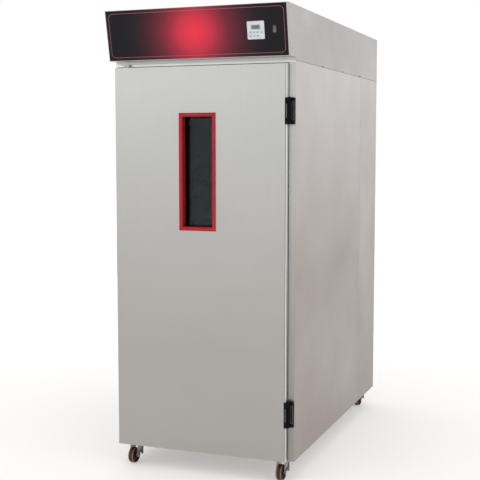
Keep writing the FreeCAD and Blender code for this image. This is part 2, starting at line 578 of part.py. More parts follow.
def make_door():
    hole = window_outline("revealWall + windowFit")
    overlay = "(doorProud - doorGap - sheet)"
    pull_low, pull_high = "(pullLevel - pullLength/2)", "(pullLevel + pullLength/2)"
    pull_front = f"(-doorProud + (doorProud - doorGap - pullWidth)/2)"

    pan = new_body("pan_shell")
    face = new_sketch(pan, "XZ", "doorProud")
    outline(face, rectangle(f"-{door_left}", door_low, door_right, door_high))
    outline(face, hole)
    pad(pan, face, overlay, reverse=True)
    rim = (value(f"-{door_left}"), value(door_right))
    round_edges(pan, "doorCorner", lambda edge: along(edge, "z")
                and abs(edge.CenterOfMass.y + sizes["doorProud"]) < 0.01
                and min(abs(edge.CenterOfMass.x - x) for x in rim) < 0.01)
    hollow = new_sketch(pan, "XZ", "doorProud - sheet")
    outline(hollow, rectangle(f"-{door_left} + sheet", f"{door_low} + sheet", f"{door_right} - sheet",
                              f"{door_high} - sheet"))
    pocket(pan, hollow, "doorProud")
    place(pan)
    grip = box("pull_cut", (f"-{door_left} - 1", pull_front, pull_low),
               (f"-{door_left} + pullReach", f"{pull_front} + pullWidth", pull_high))
    keep(cut("door_pan", pan, [grip]))

    core = new_body("core_block")
    slab = new_sketch(core, "XZ", "doorProud - sheet")
    outline(slab, rectangle(f"-{door_left} + sheet + fitGap", f"{door_low} + sheet + fitGap",
                            f"{door_right} - sheet - fitGap", f"{door_high} - sheet - fitGap"))
    outline(slab, hole)
    pad(core, slab, f"{overlay} - sheet", reverse=True)
    round_edges(core, "doorCorner", lambda edge: along(edge, "z")
                and abs(edge.CenterOfMass.y + sizes["doorProud"] - sizes["sheet"]) < 0.01
                and abs(edge.CenterOfMass.x - sizes["windowX"]) > sizes["windowWidth"])
    inner = new_sketch(core, "XZ", "doorGap + 2*sheet")
    outline(inner, plug_outline("sheet + fitGap"))
    outline(inner, window_outline("revealWall + windowFit + sheet + fitGap"))
    pad(core, inner, "doorGap + plugDepth + sheet - fitGap", reverse=True)
    place(core)
    grip = box("pull_cut_core", (f"-{door_left}", f"{pull_front} - fitGap", f"{pull_low} - fitGap"),
               (f"-{door_left} + pullReach + fitGap", f"{pull_front} + pullWidth + fitGap",
                f"{pull_high} + fitGap"))
    keep(cut("door_core", core, [grip]))

    liner = new_body("door_liner")
    flange = new_sketch(liner, "XZ", "doorGap + sheet")
    outline(flange, rectangle(f"-{door_left}", door_low, door_right, door_high))
    outline(flange, hole)
    pad(liner, flange, "sheet", reverse=True)
    plug = new_sketch(liner, "XZ", "doorGap")
    outline(plug, plug_outline("0"))
    outline(plug, hole)
    pad(liner, plug, "doorGap + plugDepth", reverse=True)
    inside = new_sketch(liner, "XZ", "doorGap + sheet")
    outline(inside, plug_outline("sheet"))
    outline(inside, window_outline("revealWall + windowFit + sheet"))
    pocket(liner, inside, "doorGap + plugDepth")
    rebate = new_sketch(liner, "XZ", "-plugDepth")
    outline(rebate, window_outline("paneRim + spacerWidth"))
    outline(rebate, window_outline("-paneRim"))
    pad(liner, rebate, "sheet")
    keep(place(liner))

    gasket = new_body("door_gasket")
    seal = new_sketch(gasket, "XZ", "doorGap")
    reach = "(gasketStep + gasketWidth)"
    outline(seal, rectangle(f"-{opening_left} - {reach}", f"{floor_level} - {reach}",
                            f"{opening_right} + {reach}", f"{ceiling} + {reach}"))
    outline(seal, rectangle(f"-{opening_left} - gasketStep", f"{floor_level} - gasketStep",
                            f"{opening_right} + gasketStep", f"{ceiling} + gasketStep"))
    pad(gasket, seal, "doorGap - fitGap", reverse=True)
    round_edges(gasket, "gasketCorner", lambda edge: abs(edge.CenterOfMass.y + sizes["fitGap"]) < 0.01)
    keep(place(gasket))
    make_window()

    cup = new_body("door_pull")
    rim_shape = new_sketch(cup, "YZ")
    outline(rim_shape, rectangle(pull_front, pull_low, f"{pull_front} + pullWidth", pull_high))
    pad(cup, rim_shape, "pullReach")
    grasp = new_sketch(cup, "YZ")
    outline(grasp, rectangle(f"{pull_front} + pullWall", f"{pull_low} + pullWall",
                             f"{pull_front} + pullWidth - pullWall", f"{pull_high} - pullWall"))
    pocket(cup, grasp, "pullReach - pullWall", reverse=True)
    keep(place(cup, f"-{door_left}"))

    magnet = new_body("door_magnet")
    block = new_sketch(magnet, "XZ")
    outline(block, rectangle(f"{switch_x} - switchWidth/2", door_high, f"{switch_x} + switchWidth/2",
                             f"{door_high} + magnetHeight/2"))
    pad(magnet, block, "switchReach")
    round_edges(magnet, "magnetHeight/8", lambda edge: along(edge, "z"))
    keep(place(magnet, "0", "-doorGap - sheet"))


def make_window():
    frame = new_body("window_frame")
    border = new_sketch(frame, "XZ", "doorProud")
    outline(border, window_outline("borderWidth"))
    outline(border, window_outline("0"))
    pad(frame, border, "borderProud")
    round_edges(frame, "borderProud/3",
                lambda edge: abs(edge.CenterOfMass.y + sizes["doorProud"] + sizes["borderProud"]) < 0.01)
    reveal = new_sketch(frame, "XZ", "doorProud")
    outline(reveal, window_outline("revealWall"))
    outline(reveal, window_outline("0"))
    pad(frame, reveal, "revealDepth", reverse=True)
    keep(place(frame))

    outer = window_outline("revealWall")
    first = "(revealDepth - doorProud)"
    last = "(plugDepth - sheet - paneThickness)"
    panes = [plate(f"{name}_pane", "XZ", outer, "paneThickness", at=("0", y, "0"), reverse=True)
             for name, y in (("outer", first), ("inner", last))]
    keep(group("window_panes", panes))
    keep(plate("window_spacer", "XZ", outer, f"{last} - {first} - paneThickness",
               holes=[window_outline("-spacerWidth")],
               at=("0", f"{first} + paneThickness", "0"), reverse=True))


# Hinges, door switch
def make_hinges():
    frame_leaves, door_leaves, pins = [], [], []
    for name, level in (("low", hinge_low), ("high", hinge_high)):
        low, high = f"({level} - hingeHeight/2)", f"({level} + hingeHeight/2)"
        middle_low = f"({level} - doorKnuckle/2)"
        middle_high = f"({level} + doorKnuckle/2)"
        leaf = box(f"leaf_{name}", (leaf_inner, "-leafThickness", low), (leaf_outer, "0", high))
        parts = [leaf]
        for end, start, stop in (("foot", low, f"({middle_low} - knuckleGap)"),
                                 ("head", f"({middle_high} + knuckleGap)", high)):
            parts.append(box(f"web_{name}_{end}", (leaf_inner, "-hingeProud", start),
                             (f"{hinge_x} + knuckleRadius - 2", "-leafThickness", stop)))
            parts.append(rod(f"knuckle_{name}_{end}", "knuckleRadius", (hinge_x, "-hingeProud", start),
                             f"{stop} - {start}"))
        bore = rod(f"frame_bore_{name}", "pinRadius + runningGap", (hinge_x, "-hingeProud", f"{low} - 1"),
                   "hingeHeight + 2")
        slot = box(f"cover_slot_{name}",
                   (f"{leaf_outer} - 9", "-leafThickness - 1", f"{level} - hingeHeight/4"),
                   (f"{leaf_outer} - 3", "-leafThickness + 3", f"{level} + hingeHeight/4"))
        frame_leaves.append(cut(f"frame_leaf_{name}", join(f"frame_leaf_body_{name}", parts), [bore, slot]))

        wrap = [
            box(f"wrap_front_{name}", (f"{door_right} - wrapWidth", "-doorProud - wrapThickness", low),
                (hinge_x, "-doorProud", high)),
            box(f"wrap_side_{name}", (door_right, "-doorProud - wrapThickness", low),
                (f"{door_right} + wrapSide", "-doorGap - 2*sheet", high)),
            box(f"arm_{name}", (door_right, "-hingeProud - pinRadius", middle_low),
                (hinge_x, "-hingeProud + pinRadius", middle_high)),
            rod(f"door_knuckle_{name}", "knuckleRadius", (hinge_x, "-hingeProud", middle_low),
                "doorKnuckle"),
        ]
        bore = rod(f"door_bore_{name}", "pinRadius + runningGap",
                   (hinge_x, "-hingeProud", f"{middle_low} - 1"), "doorKnuckle + 2")
        door_leaves.append(cut(f"door_leaf_{name}", join(f"door_leaf_body_{name}", wrap), [bore]))
        pins.append(join(f"pin_{name}", [
            rod(f"pin_shank_{name}", "pinRadius", (hinge_x, "-hingeProud", low), "hingeHeight"),
            rod(f"pin_head_{name}", "pinHeadRadius", (hinge_x, "-hingeProud", high), "pinHeadHeight")]))
    keep(group("hinge_frame_leaves", frame_leaves))
    keep(group("hinge_door_leaves", door_leaves))
    keep(group("hinge_pins", pins))

    switch = new_body("door_switch")
    block = new_sketch(switch, "XZ")
    outline(block, rectangle(f"{switch_x} - switchWidth/2", f"{seam} - switchHeight + 1",
                             f"{switch_x} + switchWidth/2", f"{seam} + 1"))
    pad(switch, block, "switchReach")
    round_edges(switch, "switchHeight/8", lambda edge: along(edge, "z"))
    keep(place(switch))


# Casters: plate, fork with its axle bolt, wheel. Each stands at its own turn, as in the photograph.
caster_places = {
    "front_left": (f"-{caster_x}", "casterFront", -4), "front_right": (caster_x, "casterFront", -2),
    "rear_left": (f"-{caster_x}", caster_rear, -9), "rear_right": (caster_x, caster_rear, -6),
}


def turned(item, angle, x, y, z="0"):
    item.Placement = FreeCAD.Placement(FreeCAD.Vector(), FreeCAD.Rotation(FreeCAD.Vector(0, 0, 1), angle))
    return place(item, x, y, z)


def make_casters():
    plates = []
    for name, (x, y, angle) in caster_places.items():
        plates.append(caster_plate(name, x, y))
        keep(group(f"fork_{name}", [caster_fork(name, x, y, angle), caster_axle(name, x, y, angle)]))
        keep(caster_wheel(name, x, y, angle))
    keep(group("caster_plates", plates))


def caster_plate(name, x, y):
    body = new_body(f"plate_{name}")
    face = new_sketch(body, "XY")
    outline(face, rectangle("-plateWidth/2", "-plateLength/2", "plateWidth/2", "plateLength/2"))
    ring(face, "0", "0", "stemRadius + runningGap")
    for sx in ("-boltSpacingX/2", "boltSpacingX/2"):
        for sy in ("-boltSpacingY/2", "boltSpacingY/2"):
            ring(face, sx, sy, "boltHole")
    pad(body, face, "plateThickness")
    corners = (value("plateWidth/2"), value("plateLength/2"))
    round_edges(body, "boltHole", lambda edge: along(edge, "z")
                and abs(abs(edge.CenterOfMass.x) - corners[0]) < 0.01
                and abs(abs(edge.CenterOfMass.y) - corners[1]) < 0.01)
    race = new_sketch(body, "XY")
    ring(race, "0", "0", "headRadius + raceGap")
    ring(race, "0", "0", "headRadius + raceGap + raceWall")
    pad(body, race, "raceHeight", reverse=True)
    return place(body, x, y, f"{clearance} - plateThickness")


def caster_fork(name, x, y, angle):
    # Pressed from one sheet: legs with a raised lip along their edges, each with an ear at its front
    body = new_body(f"yoke_{name}")
    across = "(wheelHub + 2*wheelGap)"
    shoulder, foot = f"({crown} - 2*legThickness)", "(wheelRadius - 2.4*axleRadius)"
    ear_foot, notch = "(wheelRadius - axleRadius)", "(wheelRadius + 2*earWidth)"
    shape = new_sketch(body, "YZ")
    outline(shape, [("headRadius", crown), ("headRadius", shoulder), ("earReach", "wheelRadius + earWidth"),
                    ("earReach", ear_foot), ("earReach - earWidth", ear_foot),
                    ("earReach - 2*earWidth", notch),
                    ("-trail + axleRadius*3", "wheelRadius + axleRadius"), ("-trail + axleRadius", foot),
                    ("-trail - axleRadius", foot), ("-trail - axleRadius*3", "wheelRadius"),
                    ("-headRadius", shoulder), ("-headRadius", crown)])
    pad(body, shape, f"{across} + 2*legThickness + 2*lipHeight", both=True)
    top_edges = value(crown)
    round_edges(body, "lipHeight", lambda edge: along(edge, "y")
                and abs(edge.CenterOfMass.z - top_edges) < 0.01)
    gap = new_sketch(body, "YZ")
    outline(gap, rectangle("-trail - wheelRadius", "0", "2*headRadius", f"{crown} - legThickness"))
    pocket(body, gap, across, both=True)
    web = f"({across}/2 + legThickness)"
    for offset, outward in ((web, True), (f"-{web}", False)):
        dish = new_sketch(body, "YZ", offset)
        outline(dish, [("headRadius - lipWidth", f"{shoulder} - lipWidth"),
                       ("earReach - lipWidth", "wheelRadius + earWidth - lipWidth/2"),
                       ("earReach - lipWidth", f"{ear_foot} + lipWidth"),
                       ("earReach - earWidth + lipWidth", f"{ear_foot} + lipWidth"),
                       ("earReach - 2*earWidth + lipWidth/2", f"{notch} + lipWidth"),
                       ("-trail + axleRadius*3 - lipWidth", "wheelRadius + axleRadius + lipWidth"),
                       ("-trail + axleRadius - lipWidth/2", f"{foot} + lipWidth"),
                       ("-trail - axleRadius + lipWidth/2", f"{foot} + lipWidth"),
                       ("-trail - axleRadius*3 + lipWidth", "wheelRadius + lipWidth/2"),
                       ("-headRadius + lipWidth", f"{shoulder} - lipWidth")])
        pocket(body, dish, "2*lipHeight", reverse=outward)
    bore = new_sketch(body, "YZ")
    ring(bore, "-trail", "wheelRadius", "axleRadius + runningGap")
    pocket(body, bore, f"2*{across}", both=True)
    head = new_sketch(body, "XY", crown)
    ring(head, "0", "0", "headRadius")
    pad(body, head, f"{clearance} - plateThickness - {crown} - fitGap")
    round_edges(body, "fitGap*5", lambda edge: edge.Curve.TypeId == "Part::GeomCircle"
                and edge.CenterOfMass.z > value(f"{clearance} - plateThickness - 1"))
    stem = new_sketch(body, "XY", crown)
    ring(stem, "0", "0", "stemRadius")
    pad(body, stem, f"{clearance} - {crown} - fitGap")
    return turned(body, angle, x, y)


def caster_axle(name, x, y, angle):
    body = new_body(f"axle_{name}")
    half = "(wheelHub/2 + wheelGap + legThickness)"
    shank = new_sketch(body, "YZ")
    ring(shank, "-trail", "wheelRadius", "axleRadius")
    pad(body, shank, f"2*({half} + nutThickness)", both=True)
    for offset, reverse in ((half, False), (f"-{half}", True)):
        nut = new_sketch(body, "YZ", offset)
        outline(nut, [(f"-trail + nutRadius*cos({turn}*1 deg)", f"wheelRadius + nutRadius*sin({turn}*1 deg)")
                      for turn in range(0, 360, 60)])
        pad(body, nut, "nutThickness", reverse=reverse)
    return turned(body, angle, x, y)


def caster_wheel(name, x, y, angle):
    body = new_body(f"wheel_{name}")
    shape = new_sketch(body, "XZ", "trail")
    bore, hub, rim = "(axleRadius + runningGap)", "(wheelHub/2)", "(wheelWidth/2)"
    half = [(hub, bore), (hub, "axleRadius*3"), ("wheelWidth*0.3", "axleRadius*3.6"),
            ("wheelWidth*0.3", "wheelRadius*0.72"), (rim, "wheelRadius*0.8"), (rim, "wheelRadius*0.9"),
            ("wheelWidth*0.36", "wheelRadius")]
    other = [(f"-({across})", radius) for across, radius in reversed(half)]
    outline(shape, [(across, radius) for across, radius in half + other])
    spin = body.newObject("PartDesign::Revolution", body.Label + "_revolution")
    spin.Profile = shape
    spin.ReferenceAxis = (shape, ["H_Axis"])
    spin.Angle = 360
    return turned(body, angle, x, y, "wheelRadius")


# Chamber: air duct, tray racks, lamp, probe, humidity pan, heater
def make_duct():
    duct = new_body("air_duct")
    width = f"({chamber} - ductMargin)"
    block = new_sketch(duct, "XZ")
    outline(block, rectangle(f"-{width}", duct_foot, width, duct_head))
    pad(duct, block, f"{rear_liner} - {duct_front}", reverse=True)
    hollow = new_sketch(duct, "XZ", "-sheet")
    outline(hollow, rectangle(f"-{width} + sheet", f"{duct_foot} - 1", f"{width} - sheet",
                              f"{duct_head} + 1"))
    pocket(duct, hollow, rear_liner)
    hole = new_sketch(duct, "XZ")
    ring(hole, "0", fan_level, "fanOpening")
    pocket(duct, hole, "4*sheet", both=True)
    slots = new_sketch(duct, "XZ")
    for x in ("-slotOffset", "slotOffset"):
        outline(slots, rectangle(f"{x} - slotWidth/2", slot_first, f"{x} + slotWidth/2",
                                 f"{slot_first} + slotHeight"))
    first = pocket(duct, slots, "4*sheet", both=True)
    repeat(duct, first, "Z", "slotPitch", "slotRows")
    keep(place(duct, "0", duct_front))


def make_racks():
    parts = []
    for name, hand in (("left", "-"), ("right", "")):
        for i in range(3):
            start = f"(postFront + {i}*{post_pitch})"
            post = new_body(f"post_{name}_{i + 1}")
            shape = new_sketch(post, "XY")
            wall, face = f"{hand}{chamber}", f"{hand}({chamber} - postReach)"
            inner = f"{hand}({chamber} - postReach + postWall)"
            outline(shape, [(wall, start), (face, start), (face, f"{start} + postWidth"),
                            (wall, f"{start} + postWidth"), (wall, f"{start} + postWidth - postWall"),
                            (inner, f"{start} + postWidth - postWall"), (inner, f"{start} + postWall"),
                            (wall, f"{start} + postWall")])
            pad(post, shape, f"{ceiling} - {floor_level}")
            parts.append(place(post, "0", "0", floor_level))
        slide = new_body(f"slides_{name}")
        shape = new_sketch(slide, "XZ", "-slideFront")
        near, far = f"{hand}({chamber} - postReach)", f"{hand}({chamber} - postReach - slideFoot)"
        thin = f"{hand}({chamber} - postReach - slideSheet)"
        outline(shape, [(near, "0"), (far, "0"), (far, "slideSheet"), (thin, "slideSheet"),
                        (thin, "slideLip"), (near, "slideLip")])
        first = pad(slide, shape, f"{slide_rear} - slideFront", reverse=True)
        repeat(slide, first, "Z", "slidePitch", slide_count)
        parts.append(place(slide, "0", "0", "slideLevel"))
    keep(group("tray_racks", parts))


def make_chamber_fittings():
    lamp = new_body("chamber_lamp")
    lens = new_sketch(lamp, "XY")
    outline(lens, rectangle("-lampLength/2", "lampY - lampWidth/2", "lampLength/2", "lampY + lampWidth/2"))
    pad(lamp, lens, "lampDrop", reverse=True)
    round_edges(lamp, "lampDrop/2", lambda edge: abs(edge.CenterOfMass.z + sizes["lampDrop"]) < 0.01)
    keep(place(lamp, "0", "0", ceiling))

    stem = rod("probe_stem", "probeRadius", ("probeX", probe_y, f"{ceiling} - probeDrop"), "probeDrop")
    flange = rod("probe_flange", "probeFlange", ("probeX", probe_y, f"{ceiling} - probeRadius"),
                 "probeRadius")
    keep(join("sensor_probe", [stem, flange]))

    pan = new_body("humidity_pan")
    front, back = f"({rear_liner} - panDepth)", rear_liner
    block = new_sketch(pan, "XY")
    outline(block, rectangle("-panWidth/2", front, "panWidth/2", back))
    pad(pan, block, "panHeight")
    hollow = new_sketch(pan, "XY", "panWall")
    outline(hollow, rectangle("-panWidth/2 + panWall", f"{front} + panWall", "panWidth/2 - panWall",
                              f"{back} - panWall"))
    pocket(pan, hollow, "panHeight", reverse=True)
    keep(place(pan, "0", "0", floor_level))


def make_heater():
    # A tube from the back wall, across and back twice, and into the wall again
    half, bend, reach = value("heaterHalf"), value("heaterBend"), value("heaterReach")
    radius = value("heaterRadius")
    depth = -reach
    point = FreeCAD.Vector
    corners = [point(-half, 0, 0), point(-half, depth, 0), point(half, depth, 0),
               point(half, depth, 2*bend), point(-half, depth, 2*bend), point(-half, depth, 4*bend),
               point(half, depth, 4*bend), point(half, 0, 4*bend)]
    edges = []
    start = corners[0]
    for before, corner, after in zip(corners, corners[1:], corners[2:]):
        into = (corner - before).normalize()
        out = (after - corner).normalize()
        enter, leave = corner - into*bend, corner + out*bend
        middle = corner + (out - into)*bend*(1 - 0.5**0.5)
        if (enter - start).Length > 0.001:
            edges.append(Part.LineSegment(start, enter).toShape())
        edges.append(Part.Arc(enter, middle, leave).toShape())
        start = leave
    edges.append(Part.LineSegment(start, corners[-1]).toShape())
    path = Part.Wire(edges)
    section = Part.Wire(Part.Circle(corners[0], point(0, 1, 0), radius).toShape())
    tube = add("Part::Feature", "heater_element")
    tube.Shape = path.makePipeShell([section], True, False)
    keep(place(tube, "0", rear_liner, "heaterLevel"))


# Refrigeration: coils, fans, motors, compressor, control box
def make_coil(name, width, height, depth, x, y, z):
    fins = []
    half = f"({width}/2)"
    for side_name, start in (("left", f"-{half}"), ("right", f"({half} - coilEnd)")):
        fins.append(box(f"{name}_{side_name}_plate", (f"{x} + {start}", y, z),
                        (f"{x} + {start} + coilEnd", f"{y} + {depth}", f"{z} + {height}")))
    inner = f"({width} - 2*coilEnd)"
    for i in range(int(sizes["finCount"])):
        start = f"({x} - {half} + coilEnd + ({i} + 1)*{inner}/(finCount + 1) - finThickness/2)"
        fins.append(box(f"{name}_fin_{i + 1}", (start, f"{y} + 3", f"{z} + 3"),
                        (f"{start} + finThickness", f"{y} + {depth} - 3", f"{z} + {height} - 3")))
    tubes = []
    count = int(value(f"({height} - tubePitch)/tubePitch"))//2*2
    first = f"({z} + ({height} - ({count} - 1)*tubePitch)/2)"
    for i in range(count):
        level = f"({first} + {i}*tubePitch)"
        start = (f"{x} - {half} - coilEnd", f"{y} + {depth}/2", level)
        tubes.append(rod(f"{name}_tube_{i + 1}", "tubeRadius", start, f"{width} + 2*coilEnd", "X"))
    for i in range(count - 1):
        bend = add("Part::Torus", f"{name}_bend_{i + 1}")
        bind(bend, Radius1="tubePitch/2", Radius2="tubeRadius")
        bend.Angle3 = 180
        right = i % 2 == 0
        turn = FreeCAD.Rotation(FreeCAD.Vector(1, 0, 0), 90)
        spin = FreeCAD.Rotation(FreeCAD.Vector(0, 1, 0), 90 if right else -90)
        bend.Placement.Rotation = spin.multiply(turn)
        end = f"{x} + {half} + coilEnd" if right else f"{x} - {half} - coilEnd"
        place(bend, end, f"{y} + {depth}/2", f"{first} + ({i} + 0.5)*tubePitch")
        tubes.append(bend)
    keep(join(name, fins + tubes))


def make_rotor(name, radius, x, y, z):
    rotor = new_body(name)
    hub = new_sketch(rotor, "XZ")
    ring(hub, "0", "0", "hubRadius")
    ring(hub, "0", "0", "shaftRadius + runningGap")
    pad(rotor, hub, "hubLength", both=True)
    sections = []
    for offset, pitch, chord in (("hubRadius*0.85", "rootPitch", "bladeChord*0.6"),
                                 (radius, "tipPitch", "bladeChord")):
        blade = new_sketch(rotor, "YZ", offset)
        sine, cosine = f"sin({pitch}*1 deg)", f"cos({pitch}*1 deg)"
        corners = []
        for run, rise in (("-0.5", "0"), ("0", "bladeCamber"), ("0.5", "0"), ("0.5", "bladeThickness"),
                          ("0", "bladeCamber + bladeThickness"), ("-0.5", "bladeThickness")):
            corners.append((f"({run})*({chord})*{sine} + ({rise})*{cosine}",
                            f"({run})*({chord})*{cosine} - ({rise})*{sine}"))
        outline(blade, corners)
        sections.append(blade)
    loft = rotor.newObject("PartDesign::AdditiveLoft", name + "_blade")
    loft.Profile = sections[0]
    loft.Sections = sections[1:]
    turn_about(rotor, loft, "Y", "bladeCount")
    keep(place(rotor, x, y, z))


def make_machinery():
    keep_level = f"({deck} + headerHeight/2 - sheet)"
    make_coil("evaporator_coil", "evaporatorWidth", "evaporatorHeight", "evaporatorDepth", "0",
              f"({rear_liner} - evaporatorDepth)", evaporator_level)
    make_coil("condenser_coil", "condenserWidth", "condenserHeight", "condenserDepth", "0",
              condenser_y, deck)
    chamber_motor = f"({rear_liner} - motorLength)"
    chamber_rotor = f"({chamber_motor} - shaftLength + hubLength/2)"
    header_rotor = f"({condenser_y} - hubLength)"
    header_motor = f"({header_rotor} - hubLength/2 - shaftLength/2 - motorLength)"
    make_rotor("circulation_fan", "fanRadius", "0", chamber_rotor, fan_level)
    make_rotor("condenser_fan", "condenserFanRadius", "0", header_rotor, keep_level)
    motors = [
        join("circulation_motor", [
            rod("chamber_can", "motorRadius", ("0", chamber_motor, fan_level), "motorLength", "Y"),
            rod("chamber_shaft", "shaftRadius", ("0", f"{chamber_motor} - shaftLength", fan_level),
                "shaftLength + 1", "Y")]),
        join("condenser_motor", [
            rod("header_can", "motorRadius", ("0", header_motor, keep_level), "motorLength", "Y"),
            rod("header_shaft", "shaftRadius", ("0", f"{header_motor} + motorLength - 1", keep_level),
                "shaftLength", "Y"),
            box("motor_foot", ("-motorRadius", f"{header_motor} + motorLength/4", deck),
                ("motorRadius", f"{header_motor} + motorLength*3/4", keep_level))]),
    ]
    keep(group("fan_motors", motors))

    can = new_body("compressor")
    shape = new_sketch(can, "XZ")
    outline(shape, [("0", "0"), ("compressorRadius", "0"), ("compressorRadius", "compressorHeight*0.62"),
                    ("compressorRadius*0.86", "compressorHeight*0.84"),
                    ("compressorRadius*0.45", "compressorHeight*0.97"), ("0", "compressorHeight")])
    spin = can.newObject("PartDesign::Revolution", "compressor_can")
    spin.Profile = shape
    spin.ReferenceAxis = (shape, ["V_Axis"])
    spin.Angle = 360
    feet = new_sketch(can, "XY")
    outline(feet, rectangle("-1.25*compressorRadius", "-0.8*compressorRadius", "1.25*compressorRadius",
                            "0.8*compressorRadius"))
    pad(can, feet, "2*sheet")
    keep(place(can, "compressorX", compressor_y, deck))

    control = new_body("control_box")
    case = new_sketch(control, "XY")
    outline(case, rectangle("-boxWidth/2", "-boxDepth/2", "boxWidth/2", "boxDepth/2"))
    pad(control, case, "boxHeight")
    round_edges(control, "boxHeight/20", lambda edge: along(edge, "z"))
    keep(place(control, "boxX", "boxY", deck))


make_shell()
make_header()
make_controller()
make_rocker_switch()
make_door()
make_hinges()
make_casters()
make_duct()
make_racks()
make_chamber_fittings()
make_heater()
make_machinery()
doc.recompute()

# Every object has to be sound before anything is written
failed = [item.Label for item in doc.Objects if {"Invalid", "Error"} & set(item.State)]
failed += [item.Label for item in nodes if item.Shape.isNull() or not item.Shape.isValid()]
if failed:
    raise RuntimeError("not sound: " + ", ".join(failed))

os.makedirs("parts", exist_ok=True)
for item in nodes:
    item.Shape.exportStep(f"parts/{item.Label}.step")
print(len(nodes), "nodes,", sum(len(item.Shape.Solids) for item in nodes), "solids")
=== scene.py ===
# Retarder proofer: finishes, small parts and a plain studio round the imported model
import json
import math
import bmesh
import bpy
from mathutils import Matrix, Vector


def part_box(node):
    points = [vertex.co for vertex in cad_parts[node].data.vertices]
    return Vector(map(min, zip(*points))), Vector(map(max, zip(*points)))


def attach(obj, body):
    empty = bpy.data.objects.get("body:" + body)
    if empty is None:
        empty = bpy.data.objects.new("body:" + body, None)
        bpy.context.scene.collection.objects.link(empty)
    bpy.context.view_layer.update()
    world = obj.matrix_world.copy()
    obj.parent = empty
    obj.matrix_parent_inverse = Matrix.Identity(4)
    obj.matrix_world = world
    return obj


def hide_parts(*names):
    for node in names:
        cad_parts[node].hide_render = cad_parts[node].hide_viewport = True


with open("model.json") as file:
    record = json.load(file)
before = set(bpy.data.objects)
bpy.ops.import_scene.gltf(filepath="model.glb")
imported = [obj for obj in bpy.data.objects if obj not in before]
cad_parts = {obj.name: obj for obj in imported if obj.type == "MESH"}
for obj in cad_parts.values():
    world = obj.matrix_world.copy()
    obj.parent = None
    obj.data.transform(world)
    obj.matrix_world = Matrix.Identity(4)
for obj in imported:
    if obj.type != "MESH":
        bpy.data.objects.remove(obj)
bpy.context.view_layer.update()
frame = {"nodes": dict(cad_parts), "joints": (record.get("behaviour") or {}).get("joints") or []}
scene = bpy.context.scene
print("frame loaded:", len(frame["nodes"]), "nodes")

# Places that many pieces use, read from the frame, in metres
mm = 0.001
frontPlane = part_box("door_frame")[0].y
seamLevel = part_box("header_base")[0].z
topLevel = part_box("header_cover")[1].z
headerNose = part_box("header_cover")[0].y
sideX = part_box("header_cover")[1].x
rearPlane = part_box("back_sheet")[1].y
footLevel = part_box("base_sheet")[0].z
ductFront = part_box("air_duct")[0].y
fanCentre = (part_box("circulation_fan")[0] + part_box("circulation_fan")[1]) / 2
lean = math.atan2(46, 230)   # the control panel runs 46 mm back over 230 mm of height


# Materials
def hexColour(code):
    # sRGB hex to the linear values that the shader wants
    channels = [int(code[i:i + 2], 16) / 255 for i in (1, 3, 5)]
    return tuple(c / 12.92 if c <= 0.04045 else ((c + 0.055) / 1.055) ** 2.4 for c in channels) + (1,)


def newMaterial(name):
    material = bpy.data.materials.new(name)
    material.use_nodes = True
    material.node_tree.nodes.clear()
    return material


def addNode(material, kind, values=None, links=None, **settings):
    # Adds one node with its settings and input values, and links its inputs to other nodes' outputs
    node = material.node_tree.nodes.new(kind)
    for name, setting in settings.items():
        setattr(node, name, setting)
    for socket, value in (values or {}).items():
        node.inputs[socket].default_value = value
    for socket, source in (links or {}).items():
        material.node_tree.links.new(source, node.inputs[socket])
    return node


